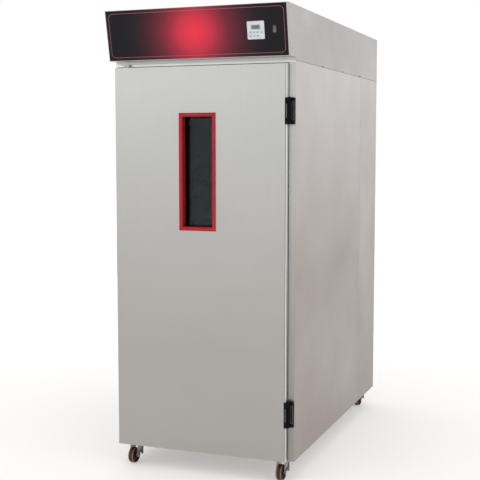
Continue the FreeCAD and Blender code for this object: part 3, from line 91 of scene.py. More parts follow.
def linishedSteel(name, finish):
    # Stainless sheet, linished with a fine belt: a satin sheen with faint long streaks along the grain
    # and the broad dull clouds that wiping leaves. Real streaks are 0.2 mm wide and too fine to show,
    # so these are a few millimetres wide. Towards the floor the colour darkens into painted shade. Bands
    # along one axis paint shade and highlight into the colour, such as beside a folded edge.
    material = newMaterial(name)
    place = addNode(material, "ShaderNodeTexCoord").outputs["Object"]
    along, across = 1 / (900 * mm), 1 / (finish["streak"] * mm)
    grain = addNode(material, "ShaderNodeMapping",
                    {"Scale": [along if axis == finish["grain"] else across for axis in "xyz"]},
                    {"Vector": place})
    streaks = addNode(material, "ShaderNodeTexNoise", {"Scale": 1, "Detail": 4, "Roughness": 0.6},
                      {"Vector": grain.outputs["Vector"]})
    clouds = addNode(material, "ShaderNodeTexNoise", {"Scale": 1 / (380 * mm), "Detail": 4, "Roughness": 0.5},
                     {"Vector": place})
    streaked = addNode(material, "ShaderNodeMapRange", {"From Min": 0.3, "From Max": 0.7, "To Max": 0.75},
                       {"Value": streaks.outputs["Fac"]})
    sheet = addNode(material, "ShaderNodeMix",
                    {6: hexColour(finish["bright"]), 7: hexColour(finish["dull"])},
                    {0: streaked.outputs["Result"]}, data_type="RGBA")
    clouded = addNode(material, "ShaderNodeMapRange",
                      {"From Min": 0.35, "From Max": 0.7, "To Max": finish["clouds"]},
                      {"Value": clouds.outputs["Fac"]})
    colour = addNode(material, "ShaderNodeMix", {7: hexColour(finish["dull"])},
                     {0: clouded.outputs["Result"], 6: sheet.outputs[2]}, data_type="RGBA")
    # Painted shade: below footTop the colour fades to the foot colour, darkest at footLow
    if "foot" in finish:
        height = addNode(material, "ShaderNodeSeparateXYZ", links={"Vector": place})
        low = addNode(material, "ShaderNodeMapRange",
                      {"From Min": finish["footTop"], "From Max": finish["footLow"]},
                      {"Value": height.outputs["Z"]})
        colour = addNode(material, "ShaderNodeMix", {7: hexColour(finish["foot"])},
                         {0: low.outputs["Result"], 6: colour.outputs[2]}, data_type="RGBA")
    # Painted bands: past each start along the axis the colour turns to the band's colour, a darker one for painted
    # shade, a paler one for a painted highlight
    for axis, start, width, share, code in finish.get("paintedBands", ()):
        reach = addNode(material, "ShaderNodeSeparateXYZ", links={"Vector": place})
        paintedBand = addNode(material, "ShaderNodeMapRange",
                       {"From Min": start, "From Max": start + width, "To Max": share},
                       {"Value": reach.outputs[axis]})
        colour = addNode(material, "ShaderNodeMix", {7: hexColour(code)},
                         {0: paintedBand.outputs["Result"], 6: colour.outputs[2]}, data_type="RGBA")
    gloss = addNode(material, "ShaderNodeMapRange",
                    {"From Min": 0.3, "From Max": 0.7, "To Min": finish["roughness"] - 0.05,
                     "To Max": finish["roughness"] + 0.06}, {"Value": clouds.outputs["Fac"]})
    bump = addNode(material, "ShaderNodeBump", {"Strength": 0.35, "Distance": 0.02 * mm},
                   {"Height": streaks.outputs["Fac"]})
    shader = addNode(material, "ShaderNodeBsdfPrincipled", {"Metallic": 1.0},
                     {"Base Color": colour.outputs[2], "Roughness": gloss.outputs["Result"],
                      "Normal": bump.outputs["Normal"]})
    addNode(material, "ShaderNodeOutputMaterial", links={"Surface": shader.outputs["BSDF"]})
    return material


def millSteel(name, colour, marked, roughness):
    # Mill-finished stainless inside the chamber: an even grey sheen with no grain, and water marks
    material = newMaterial(name)
    place = addNode(material, "ShaderNodeTexCoord").outputs["Object"]
    marks = addNode(material, "ShaderNodeTexNoise", {"Scale": 1 / (260 * mm), "Detail": 5, "Roughness": 0.55},
                    {"Vector": place})
    skin = addNode(material, "ShaderNodeTexNoise", {"Scale": 1 / (9 * mm), "Detail": 2}, {"Vector": place})
    stained = addNode(material, "ShaderNodeMapRange", {"From Min": 0.4, "From Max": 0.66},
                      {"Value": marks.outputs["Fac"]})
    sheet = addNode(material, "ShaderNodeMix", {6: hexColour(colour), 7: hexColour(marked)},
                    {0: stained.outputs["Result"]}, data_type="RGBA")
    gloss = addNode(material, "ShaderNodeMapRange",
                    {"From Min": 0.35, "From Max": 0.65, "To Min": roughness - 0.03, "To Max": roughness + 0.05},
                    {"Value": marks.outputs["Fac"]})
    bump = addNode(material, "ShaderNodeBump", {"Strength": 0.4, "Distance": 0.03 * mm},
                   {"Height": skin.outputs["Fac"]})
    shader = addNode(material, "ShaderNodeBsdfPrincipled", {"Metallic": 1.0},
                     {"Base Color": sheet.outputs[2], "Roughness": gloss.outputs["Result"],
                      "Normal": bump.outputs["Normal"]})
    addNode(material, "ShaderNodeOutputMaterial", links={"Surface": shader.outputs["BSDF"]})
    return material


def zincPlate(name, colour, dull, roughness):
    # Zinc-plated, passivated pressing: greenish grey with a fine crystal mottle and dirt in patches
    material = newMaterial(name)
    place = addNode(material, "ShaderNodeTexCoord").outputs["Object"]
    crystal = addNode(material, "ShaderNodeTexVoronoi", {"Scale": 1 / (1.2 * mm)}, {"Vector": place})
    mottle = addNode(material, "ShaderNodeSeparateXYZ", links={"Vector": crystal.outputs["Color"]})
    grime = addNode(material, "ShaderNodeTexNoise", {"Scale": 1 / (22 * mm), "Detail": 4}, {"Vector": place})
    both = addNode(material, "ShaderNodeMath", {1: 0.35}, {0: mottle.outputs["X"], 2: grime.outputs["Fac"]},
                   operation="MULTIPLY_ADD")
    shade = addNode(material, "ShaderNodeMapRange", {"From Min": 0.4, "From Max": 0.95},
                    {"Value": both.outputs["Value"]})
    plated = addNode(material, "ShaderNodeMix", {6: hexColour(colour), 7: hexColour(dull)},
                     {0: shade.outputs["Result"]}, data_type="RGBA")
    gloss = addNode(material, "ShaderNodeMapRange",
                    {"From Min": 0.4, "From Max": 0.95, "To Min": roughness - 0.07, "To Max": roughness + 0.12},
                    {"Value": both.outputs["Value"]})
    bump = addNode(material, "ShaderNodeBump", {"Strength": 0.5, "Distance": 0.04 * mm},
                   {"Height": grime.outputs["Fac"]})
    shader = addNode(material, "ShaderNodeBsdfPrincipled", {"Metallic": 1.0},
                     {"Base Color": plated.outputs[2], "Roughness": gloss.outputs["Result"],
                      "Normal": bump.outputs["Normal"]})
    addNode(material, "ShaderNodeOutputMaterial", links={"Surface": shader.outputs["BSDF"]})
    return material


def mouldedPlastic(name, colour, rubbed, roughness, texture=0.8, bump=0.06, specular=0.5, patch=24):
    # Moulded plastic: the fine texture that the tool gives, a little paler where hands rub it
    material = newMaterial(name)
    place = addNode(material, "ShaderNodeTexCoord").outputs["Object"]
    rub = addNode(material, "ShaderNodeTexNoise", {"Scale": 1 / (patch * mm), "Detail": 4}, {"Vector": place})
    grit = addNode(material, "ShaderNodeTexNoise", {"Scale": 1 / (texture * mm), "Detail": 2},
                   {"Vector": place})
    worn = addNode(material, "ShaderNodeMapRange", {"From Min": 0.38, "From Max": 0.75},
                   {"Value": rub.outputs["Fac"]})
    body = addNode(material, "ShaderNodeMix", {6: hexColour(colour), 7: hexColour(rubbed)},
                   {0: worn.outputs["Result"]}, data_type="RGBA")
    gloss = addNode(material, "ShaderNodeMapRange",
                    {"From Min": 0.35, "From Max": 0.7, "To Min": roughness + 0.05, "To Max": roughness - 0.06},
                    {"Value": rub.outputs["Fac"]})
    grain = addNode(material, "ShaderNodeBump", {"Strength": 0.5, "Distance": bump * mm},
                    {"Height": grit.outputs["Fac"]})
    shader = addNode(material, "ShaderNodeBsdfPrincipled", {"IOR": 1.5, "Specular IOR Level": specular},
                     {"Base Color": body.outputs[2], "Roughness": gloss.outputs["Result"],
                      "Normal": grain.outputs["Normal"]})
    addNode(material, "ShaderNodeOutputMaterial", links={"Surface": shader.outputs["BSDF"]})
    return material


def phenolicWheel(name, node):
    # Moulded phenolic resin, coloured by distance from the wheel's middle: red-brown on the tread, nearly
    # black on its flat sides, the resin's dark tone deepened by painted shade, and pale on the shoulder as a painted
    # highlight
    low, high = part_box(node)
    material = newMaterial(name)
    place = addNode(material, "ShaderNodeTexCoord").outputs["Object"]
    reach = addNode(material, "ShaderNodeVectorMath", {1: (low + high) / 2}, {0: place}, operation="DISTANCE")
    grime = addNode(material, "ShaderNodeTexNoise", {"Scale": 1 / (7 * mm), "Detail": 4}, {"Vector": place})
    uneven = addNode(material, "ShaderNodeMath", {1: wheelToneAndShading["uneven"] * mm},
                     {0: grime.outputs["Fac"], 2: reach.outputs["Value"]}, operation="MULTIPLY_ADD")
    share = addNode(material, "ShaderNodeMapRange", {"From Max": wheelToneAndShading["far"] * mm},
                    {"Value": uneven.outputs["Value"]})
    resin = addNode(material, "ShaderNodeValToRGB", links={"Fac": share.outputs["Result"]})
    steps = resin.color_ramp.elements
    while len(steps) < len(wheelToneAndShading["resin"]):
        steps.new(0.5)
    for step, (radius, code) in zip(steps, wheelToneAndShading["resin"]):
        step.position = radius / wheelToneAndShading["far"]
        step.color = hexColour(code)
    gloss = addNode(material, "ShaderNodeMapRange",
                    {"From Min": 0.3, "From Max": 0.7, "To Min": 0.36, "To Max": 0.52},
                    {"Value": grime.outputs["Fac"]})
    bump = addNode(material, "ShaderNodeBump", {"Strength": 0.5, "Distance": 0.1 * mm},
                   {"Height": grime.outputs["Fac"]})
    shader = addNode(material, "ShaderNodeBsdfPrincipled", {"IOR": 1.55, "Specular IOR Level": 0.22},
                     {"Base Color": resin.outputs["Color"], "Roughness": gloss.outputs["Result"],
                      "Normal": bump.outputs["Normal"]})
    addNode(material, "ShaderNodeOutputMaterial", links={"Surface": shader.outputs["BSDF"]})
    return material


# A wheel's colours at each distance in mm from its middle: hub, flat side in painted shade, tread, and shoulder as a
# painted highlight
wheelToneAndShading = {"far": 44, "uneven": 0.8,
             "resin": ((16, "#220e08"), (30, "#150805"), (37.1, "#1c0c07"), (37.8, "#3b1e13"),
                       (38.7, "#4b291c"), (39.3, "#a07d6b"), (44, "#a98776"))}


def stoveEnamel(name, colour, deep, roughness, specular=0.5, peel=4.0):
    # Enamel sprayed on steel and stoved: a smooth gloss with faint orange peel and a slightly uneven coat
    material = newMaterial(name)
    place = addNode(material, "ShaderNodeTexCoord").outputs["Object"]
    coat = addNode(material, "ShaderNodeTexNoise", {"Scale": 1 / (45 * mm), "Detail": 4}, {"Vector": place})
    orange = addNode(material, "ShaderNodeTexNoise", {"Scale": 1 / (peel * mm), "Detail": 1},
                     {"Vector": place})
    thin = addNode(material, "ShaderNodeMapRange", {"From Min": 0.35, "From Max": 0.68},
                   {"Value": coat.outputs["Fac"]})
    enamel = addNode(material, "ShaderNodeMix", {6: hexColour(colour), 7: hexColour(deep)},
                     {0: thin.outputs["Result"]}, data_type="RGBA")
    gloss = addNode(material, "ShaderNodeMapRange",
                    {"From Min": 0.35, "From Max": 0.65, "To Min": roughness - 0.04, "To Max": roughness + 0.08},
                    {"Value": coat.outputs["Fac"]})
    bump = addNode(material, "ShaderNodeBump", {"Strength": 0.4, "Distance": 0.04 * mm},
                   {"Height": orange.outputs["Fac"]})
    shader = addNode(material, "ShaderNodeBsdfPrincipled", {"IOR": 1.52, "Specular IOR Level": specular},
                     {"Base Color": enamel.outputs[2], "Roughness": gloss.outputs["Result"],
                      "Normal": bump.outputs["Normal"]})
    addNode(material, "ShaderNodeOutputMaterial", links={"Surface": shader.outputs["BSDF"]})
    return material


def onPanel(x, down, proud):
    # A point by the control panel: x from the middle, down its slope from the top edge, proud of its face
    return Vector((x, headerNose + down * math.sin(lean) - proud * math.cos(lean),
                   topLevel - down * math.cos(lean) - proud * math.sin(lean)))


# The panel's print: the glow's middle in mm from the panel's middle and top edge, and its colour at
# each distance from there in mm
panelPrint = {
    "across": -5, "down": 115, "far": 360,
    "glow": ((0, "#e4374a"), (43, "#d93447"), (83, "#c03345"), (123, "#9a2b3c"), (163, "#722735"),
             (204, "#5a212c"), (245, "#3f1d26"), (305, "#201a1f"), (360, "#151418")),
}


def printedPanel(name):
    # Polycarbonate printed on its back: black with a round red glow, under a satin face
    material = newMaterial(name)
    place = addNode(material, "ShaderNodeTexCoord").outputs["Object"]
    middle = onPanel(panelPrint["across"] * mm, panelPrint["down"] * mm, 0)
    distance = addNode(material, "ShaderNodeVectorMath", {1: middle}, {0: place}, operation="DISTANCE")
    reach = addNode(material, "ShaderNodeMapRange", {"From Max": panelPrint["far"] * mm},
                    {"Value": distance.outputs["Value"]})
    glow = addNode(material, "ShaderNodeValToRGB", links={"Fac": reach.outputs["Result"]})
    steps = glow.color_ramp.elements
    while len(steps) < len(panelPrint["glow"]):
        steps.new(0.5)
    for step, (radius, code) in zip(steps, panelPrint["glow"]):
        step.position = radius / panelPrint["far"]
        step.color = hexColour(code)
    haze = addNode(material, "ShaderNodeTexNoise", {"Scale": 1 / (90 * mm), "Detail": 4}, {"Vector": place})
    satin = addNode(material, "ShaderNodeTexNoise", {"Scale": 1 / (2.5 * mm), "Detail": 1},
                    {"Vector": place})
    gloss = addNode(material, "ShaderNodeMapRange",
                    {"From Min": 0.3, "From Max": 0.7, "To Min": 0.26, "To Max": 0.38},
                    {"Value": haze.outputs["Fac"]})
    bump = addNode(material, "ShaderNodeBump", {"Strength": 0.4, "Distance": 0.015 * mm},
                   {"Height": satin.outputs["Fac"]})
    shader = addNode(material, "ShaderNodeBsdfPrincipled", {"IOR": 1.58, "Specular IOR Level": 0.12},
                     {"Base Color": glow.outputs["Color"], "Roughness": gloss.outputs["Result"],
                      "Normal": bump.outputs["Normal"]})
    addNode(material, "ShaderNodeOutputMaterial", links={"Surface": shader.outputs["BSDF"]})
    return material


def floatGlass(name, tint, smeared):
    # Tempered float glass: a faint grey-blue body, the furnace rollers' slow wave, and wiping smears
    material = newMaterial(name)
    place = addNode(material, "ShaderNodeTexCoord").outputs["Object"]
    smear = addNode(material, "ShaderNodeTexNoise", {"Scale": 1 / (60 * mm), "Detail": 5}, {"Vector": place})
    rollers = addNode(material, "ShaderNodeTexNoise", {"Scale": 1 / (140 * mm), "Detail": 0},
                      {"Vector": place})
    film = addNode(material, "ShaderNodeMapRange", {"From Min": 0.45, "From Max": 0.75},
                   {"Value": smear.outputs["Fac"]})
    body = addNode(material, "ShaderNodeMix", {6: hexColour(tint), 7: hexColour(smeared)},
                   {0: film.outputs["Result"]}, data_type="RGBA")
    gloss = addNode(material, "ShaderNodeMapRange",
                    {"From Min": 0.45, "From Max": 0.8, "To Min": 0.02, "To Max": 0.07},
                    {"Value": smear.outputs["Fac"]})
    wave = addNode(material, "ShaderNodeBump", {"Strength": 0.3, "Distance": 0.05 * mm},
                   {"Height": rollers.outputs["Fac"]})
    shader = addNode(material, "ShaderNodeBsdfPrincipled",
                     {"IOR": 1.5, "Transmission Weight": 1.0, "Specular Tint": hexColour("#a5adb1")},
                     {"Base Color": body.outputs[2], "Roughness": gloss.outputs["Result"],
                      "Normal": wave.outputs["Normal"]})
    addNode(material, "ShaderNodeOutputMaterial", links={"Surface": shader.outputs["BSDF"]})
    return material


def cutFoam(name, colour, shadow):
    # Foamed polyurethane, cut: buff, with cells about 2 mm wide
    material = newMaterial(name)
    place = addNode(material, "ShaderNodeTexCoord").outputs["Object"]
    cells = addNode(material, "ShaderNodeTexVoronoi", {"Scale": 1 / (2 * mm)}, {"Vector": place})
    foam = addNode(material, "ShaderNodeMix", {6: hexColour(shadow), 7: hexColour(colour)},
                   {0: cells.outputs["Distance"]}, data_type="RGBA")
    bump = addNode(material, "ShaderNodeBump", {"Strength": 0.6, "Distance": 0.4 * mm},
                   {"Height": cells.outputs["Distance"]})
    shader = addNode(material, "ShaderNodeBsdfPrincipled", {"Roughness": 0.9, "IOR": 1.45},
                     {"Base Color": foam.outputs[2], "Normal": bump.outputs["Normal"]})
    addNode(material, "ShaderNodeOutputMaterial", links={"Surface": shader.outputs["BSDF"]})
    return material


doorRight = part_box("door_pan")[1].x
# Painted shade: the door darkens towards the floor; by the right edge a painted dark shade band (#7c7d7b) and a
# painted highlight (#e8e8e6) on the rolled edge
steelDoor = linishedSteel("linishedStainlessDoor", {
    "grain": "z", "streak": 6, "bright": "#c5c6c4", "dull": "#bfc0be", "clouds": 0.6, "roughness": 0.4,
    "foot": "#aba7a3", "footTop": 1.85, "footLow": 0.6,
    "paintedBands": (("X", doorRight - 6.8 * mm, 0.8 * mm, 0.85, "#7c7d7b"),
              ("X", doorRight - 3.2 * mm, 1.2 * mm, 1, "#e8e8e6"))})
# Painted shade: the side sheets darken towards the floor through their foot colour
steelSide = linishedSteel("linishedStainlessSides", {
    "grain": "z", "streak": 6, "bright": "#cbc8c7", "dull": "#c4c0bf", "clouds": 0.7, "roughness": 0.42,
    "foot": "#a39993", "footTop": 1.93, "footLow": 0.95})
# Painted shade: the rear sheets darken towards the floor through their foot colour
steelRear = linishedSteel("linishedStainlessRear", {
    "grain": "z", "streak": 6, "bright": "#c7c3c1", "dull": "#beb9b7", "clouds": 0.7, "roughness": 0.42,
    "foot": "#9f9591", "footTop": 1.9, "footLow": 0.5})
steelHeader = linishedSteel("linishedStainlessHeader", {
    "grain": "y", "streak": 6, "bright": "#bfbbba", "dull": "#b4afad", "clouds": 0.8, "roughness": 0.42})
# Painted shade: the frame darkens towards the floor. Painted highlight: a pale band (#dcdcd9) on the rail just under
# the header seam, returning to the plain colour at the seam
steelFrame = linishedSteel("linishedStainlessFrame", {
    "grain": "z", "streak": 4, "bright": "#c4c4c2", "dull": "#b8b8b6", "clouds": 0.5, "roughness": 0.34,
    "foot": "#98958f", "footTop": 1.8, "footLow": 0.4,
    "paintedBands": (("Z", seamLevel - 9 * mm, 1 * mm, 1, "#dcdcd9"), ("Z", seamLevel - 0.6 * mm, 0.4 * mm, 1, "#c4c4c2"))})
steelLiner = millSteel("millStainlessLiner", "#c6c5c2", "#bab9b6", 0.3)
steelRack = millSteel("foldedStainlessSlides", "#cbcac7", "#b3b2af", 0.28)
steelPin = millSteel("groundSteelPin", "#b9b8b5", "#9c9b99", 0.24)
steelScrew = millSteel("stainlessScrews", "#a3a19d", "#87857f", 0.3)
steelBlack = millSteel("blackenedSteelPin", "#1c1d1f", "#2a2b2d", 0.4)
heaterTube = millSteel("heatedTube", "#7d7672", "#5d5652", 0.42)
zinc = zincPlate("zincPlatedPressing", "#a2a49d", "#8c8f88", 0.36)
panelFilm = printedPanel("backPrintedPolycarbonate")
shellAbs = mouldedPlastic("lightGreyAbs", "#ccd0d5", "#d6d9dd", 0.42)
keyAbs = mouldedPlastic("greyKeyAbs", "#a4abb4", "#b4bac2", 0.4, bump=0.03)
markInk = mouldedPlastic("darkGreyInk", "#4c5056", "#5a5e64", 0.5, bump=0.01)
lineInk = mouldedPlastic("pinkScreenInk", "#b86a76", "#c07480", 0.4, bump=0.01, specular=0.2)
crystalPane = mouldedPlastic("liquidCrystalPane", "#6c7876", "#74807d", 0.16, texture=6, bump=0.01)
crystalInk = mouldedPlastic("liquidCrystalSegments", "#2e3536", "#363e3e", 0.3, bump=0.01)
switchNylon = mouldedPlastic("blackNylonSwitch", "#101011", "#1c1c1d", 0.34, specular=0.3)
rockerNylon = mouldedPlastic("smokedRockerNylon", "#5c4f50", "#695c5c", 0.26, bump=0.02)
rockerInk = mouldedPlastic("wornRockerInk", "#93898a", "#a39a9a", 0.45, bump=0.01)
windowRed = stoveEnamel("redStoveEnamel", "#a91822", "#99111b", 0.32, specular=0.3)
glass = floatGlass("temperedFloatGlass", "#b8bfc1", "#c2c8ca")
spacerBlack = mouldedPlastic("blackSpacerBar", "#060607", "#0d0d0e", 0.6, specular=0.15)
sealVinyl = mouldedPlastic("greyVinylSeal", "#6a6b6d", "#77787a", 0.55, texture=1.5, specular=0.35)
sealantBlack = mouldedPlastic("blackSealantBead", "#1b1a19", "#262423", 0.6, texture=3, bump=0.1, specular=0.15)
pullNylon = mouldedPlastic("blackNylonFitting", "#171718", "#262627", 0.45, specular=0.35)
hingeNylon = mouldedPlastic("glassFilledNylonHinge", "#060709", "#0d0e10", 0.5, texture=1.2, bump=0.1,
                            specular=0.1)
# Painted highlight: this paler grey nylon stands in for light on the black hinge leaves
paintedHighlightNylon = mouldedPlastic("paintedHighlightHingeTrim", "#4d5259", "#5b6067", 0.4, texture=1.2, bump=0.08)
sensorAbs = mouldedPlastic("paleAbsBlock", "#d9cfc4", "#e4ddd4", 0.4)
wheels = [name for name in frame["nodes"] if name.startswith("wheel_")]
wheelResins = [phenolicWheel(name.replace("wheel", "brownPhenolic"), name) for name in wheels]
fanPlastic = mouldedPlastic("blackFanPolyamide", "#17181a", "#232426", 0.42)
motorPaint = stoveEnamel("blackMotorEnamel", "#1d1e21", "#3a3a3b", 0.4)
compressorPaint = stoveEnamel("blackCompressorEnamel", "#0e0e0f", "#2b2a29", 0.34)
coilFins = millSteel("rolledAluminiumFins", "#c9cbcc", "#a0a2a3", 0.36)
lampOpal = mouldedPlastic("opalDiffuser", "#e9e8e2", "#f1f0eb", 0.3, texture=3, bump=0.15)
boxAbs = mouldedPlastic("greyEnclosureAbs", "#8f9194", "#9da0a3", 0.45)
foam = cutFoam("polyurethaneFoam", "#e0cd9c", "#c8b27c")
print("finishes made:", len(bpy.data.materials))

finishes = {
    steelDoor: ["door_pan"],
    steelSide: ["left_front_sheet", "right_front_sheet", "base_sheet"],
    steelRear: ["left_rear_sheet", "right_rear_sheet", "back_sheet"],
    steelHeader: ["header_cover", "rear_grille"],
    steelFrame: ["door_frame", "header_base"],
    steelLiner: ["chamber_liner", "air_duct", "humidity_pan", "door_liner"],
    steelRack: ["tray_racks"],
    steelPin: ["sensor_probe"],
    steelBlack: ["hinge_pins"],
    zinc: ["caster_plates"] + [name for name in frame["nodes"] if name.startswith("fork_")],
    panelFilm: ["fascia_panel"],
    shellAbs: ["controller_housing"],
    keyAbs: [name for name in frame["nodes"] if name.startswith("key_")],
    crystalPane: ["controller_display"],
    switchNylon: ["rocker_housing"],
    rockerNylon: ["rocker"],
    windowRed: ["window_frame"],
    glass: ["window_panes"],
    spacerBlack: ["window_spacer"],
    sealVinyl: ["door_gasket"],
    pullNylon: ["door_pull", "cable_gland"],
    hingeNylon: ["hinge_frame_leaves", "hinge_door_leaves"],
    sensorAbs: ["door_switch", "door_magnet"],
    fanPlastic: ["circulation_fan", "condenser_fan"],
    motorPaint: ["fan_motors"],
    compressorPaint: ["compressor"],
    coilFins: ["condenser_coil", "evaporator_coil"],
    lampOpal: ["chamber_lamp"],
    heaterTube: ["heater_element"],
    boxAbs: ["control_box"],
    foam: ["insulation_slabs", "door_core"],
}
for material, names in finishes.items():
    for name in names:
        for slot in frame["nodes"][name].material_slots:
            slot.material = material
for material, name in zip(wheelResins, wheels):
    for slot in frame["nodes"][name].material_slots:
        slot.material = material
dressed = {name for names in finishes.values() for name in names} | set(wheels)
print("nodes without a finish:", sorted(set(frame["nodes"]) - dressed))


# Modelling helpers
def startWith(kind, **settings):
    # Adds a primitive with nothing else selected, its size and place in its mesh
    bpy.ops.object.select_all(action="DESELECT")
    getattr(bpy.ops.mesh, f"primitive_{kind}_add")(**settings)
    bpy.ops.object.transform_apply(location=True, rotation=True, scale=True)
    return bpy.context.active_object


def makeActive(piece):
    bpy.ops.object.select_all(action="DESELECT")
    piece.select_set(True)
    bpy.context.view_layer.objects.active = piece


def pick(piece, kind, test):
    # In edit mode: selects the vertices, edges or faces that pass the test, and nothing else
    bpy.ops.mesh.select_mode(type=kind)
    bpy.ops.mesh.select_all(action="DESELECT")
    mesh = bmesh.from_edit_mesh(piece.data)
    for part in {"VERT": mesh.verts, "EDGE": mesh.edges, "FACE": mesh.faces}[kind]:
        if test(part):
            part.select_set(True)
    bmesh.update_edit_mesh(piece.data)


def useModifier(piece, kind, **settings):
    modifier = piece.modifiers.new(kind.title(), kind)
    for name, setting in settings.items():
        setattr(modifier, name, setting)
    makeActive(piece)
    bpy.ops.object.modifier_apply(modifier=modifier.name)


def copyPiece(piece, place=(0, 0, 0), turn=(0, 0, 0)):
    # A copy with its own mesh, set down at the place
    twin = piece.copy()
    twin.data = piece.data.copy()
    scene.collection.objects.link(twin)
    twin.location = place
    twin.rotation_euler = turn
    return twin


def joinPieces(pieces):
    bpy.ops.object.select_all(action="DESELECT")
    for piece in pieces:
        piece.select_set(True)
    bpy.context.view_layer.objects.active = pieces[0]
    bpy.ops.object.transform_apply(location=True, rotation=True, scale=True)
    if len(pieces) > 1:
        bpy.ops.object.join()
    return bpy.context.active_object


def finishPiece(piece, name, body, material, smooth=32):
    # Puts the piece's place in its mesh, smooths it up to an angle, and gives it its finish and body
    makeActive(piece)
    bpy.ops.object.transform_apply(location=True, rotation=True, scale=True)
    bpy.ops.object.shade_smooth_by_angle(angle=math.radians(smooth))
    piece.name = name
    piece.data.name = name
    piece.data.materials.clear()
    piece.data.materials.append(material)
    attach(piece, body)


def laidOnPanel(piece, x, down, proud=0.0):
    # Sets a flat piece, drawn from above, on the control panel; its z points out of the panel
    piece.rotation_euler = (math.pi / 2 + lean, 0, 0)
    piece.location = onPanel(x, down, proud)
    return piece


def flatShape(points, thickness):
    # A thin solid with the outline of the points, its foot at z = 0: a disc's edge moved to the outline
    piece = startWith("circle", vertices=len(points), radius=1, fill_type="NGON")
    for vertex, point in zip(piece.data.vertices, points):
        vertex.co = (point[0], point[1], 0)
    bpy.ops.object.mode_set(mode="EDIT")
    bpy.ops.mesh.select_all(action="SELECT")
    bpy.ops.mesh.normals_make_consistent(inside=False)
    bpy.ops.object.mode_set(mode="OBJECT")
    if piece.data.polygons[0].normal.z < 0:
        piece.data.flip_normals()
    useModifier(piece, "SOLIDIFY", thickness=thickness, offset=1)
    return piece


def frameShape(width, height, border, corner, thickness, segments=6):
    # A thin rounded frame round the middle: a plane with bevelled corners, inset, and its inside taken out
    piece = startWith("plane", size=1)
    bpy.ops.object.mode_set(mode="EDIT")
    bpy.ops.mesh.select_all(action="SELECT")
    bpy.ops.transform.resize(value=(width, height, 1))
    if corner:
        bpy.ops.mesh.bevel(offset=corner, segments=segments, affect="VERTICES")
        bpy.ops.mesh.select_all(action="SELECT")
    bpy.ops.mesh.inset(thickness=border)
    bpy.ops.mesh.delete(type="FACE")
    bpy.ops.object.mode_set(mode="OBJECT")
    useModifier(piece, "SOLIDIFY", thickness=thickness, offset=1)
    return piece


# A thin pink line printed round the control panel
panelLine = {"left": -450.2, "right": 442.2, "head": 2.3, "foot": 232.2, "inset": 13, "width": 1.3,
             "corner": 20, "thickness": 0.12}
lineWidth = panelLine["right"] - panelLine["left"] - 2 * panelLine["inset"]
lineHeight = panelLine["foot"] - panelLine["head"] - 2 * panelLine["inset"]
keyline = frameShape(lineWidth * mm, lineHeight * mm, panelLine["width"] * mm, panelLine["corner"] * mm,
                     panelLine["thickness"] * mm)
laidOnPanel(keyline, (panelLine["left"] + panelLine["right"]) / 2 * mm,
            (panelLine["head"] + panelLine["foot"]) / 2 * mm)
finishPiece(keyline, "panel_keyline", "cabinet", lineInk)

# Controller: a raised rim round its display, a number on the display, and a mark on each key
controller = {"x": 294.0, "down": 117, "proud": 4, "displayDown": 103.5, "rimWidth": 44, "rimHeight": 22,
              "rimBorder": 2.2, "rimProud": 0.6, "plateWidth": 72, "plateHeight": 71, "plateLine": 0.7,
              "digit": 4.6, "stroke": 0.9, "digitPitch": 7.6, "number": "280"}
rim = frameShape(controller["rimWidth"] * mm, controller["rimHeight"] * mm, controller["rimBorder"] * mm,
                 2.7 * mm, controller["rimProud"] * mm, segments=4)
useModifier(rim, "BEVEL", width=0.2 * mm, segments=2)
laidOnPanel(rim, controller["x"] * mm, controller["displayDown"] * mm, controller["proud"] * mm)
finishPiece(rim, "display_rim", "cabinet", keyAbs)
border = frameShape(controller["plateWidth"] * mm, controller["plateHeight"] * mm,
                    controller["plateLine"] * mm, 3 * mm, 0.08 * mm, segments=4)
laidOnPanel(border, controller["x"] * mm, controller["down"] * mm, controller["proud"] * mm)
finishPiece(border, "controller_border", "cabinet", keyAbs)


def segmentDigit(digit):
    # The lit bars of one seven-bar digit: three across and four upright
    lit = {"0": "abcdef", "2": "abged", "8": "abcdefg", "5": "afgcd"}[digit]
    size, half = controller["digit"] * mm, controller["stroke"] / 2 * mm
    places = {"a": (0, size, 0), "g": (0, 0, 0), "d": (0, -size, 0), "f": (-size / 2, size / 2, 90),
              "b": (size / 2, size / 2, 90), "e": (-size / 2, -size / 2, 90), "c": (size / 2, -size / 2, 90)}
    reach = size / 2 - 0.15 * mm
    bar = flatShape([(reach, 0), (reach - half, half), (half - reach, half), (-reach, 0),
                     (half - reach, -half), (reach - half, -half)], 0.08 * mm)
    bars = [copyPiece(bar, (places[name][0], places[name][1], 0), (0, 0, math.radians(places[name][2])))
            for name in lit]
    bpy.data.objects.remove(bar)
    return joinPieces(bars)


digits = []
for i, figure in enumerate(controller["number"]):
    digit = segmentDigit(figure)
    digit.location = ((i - 1) * controller["digitPitch"] * mm, 0, 0)
    digits.append(digit)
point = flatShape([(0.5 * mm * math.cos(a), 0.5 * mm * math.sin(a))
                   for a in [math.radians(45 * k) for k in range(8)]], 0.08 * mm)
point.location = (0.5 * controller["digitPitch"] * mm, -controller["digit"] * mm, 0)
number = joinPieces(digits + [point])
laidOnPanel(number, controller["x"] * mm, controller["displayDown"] * mm, controller["proud"] * mm)
finishPiece(number, "display_number", "cabinet", crystalInk)

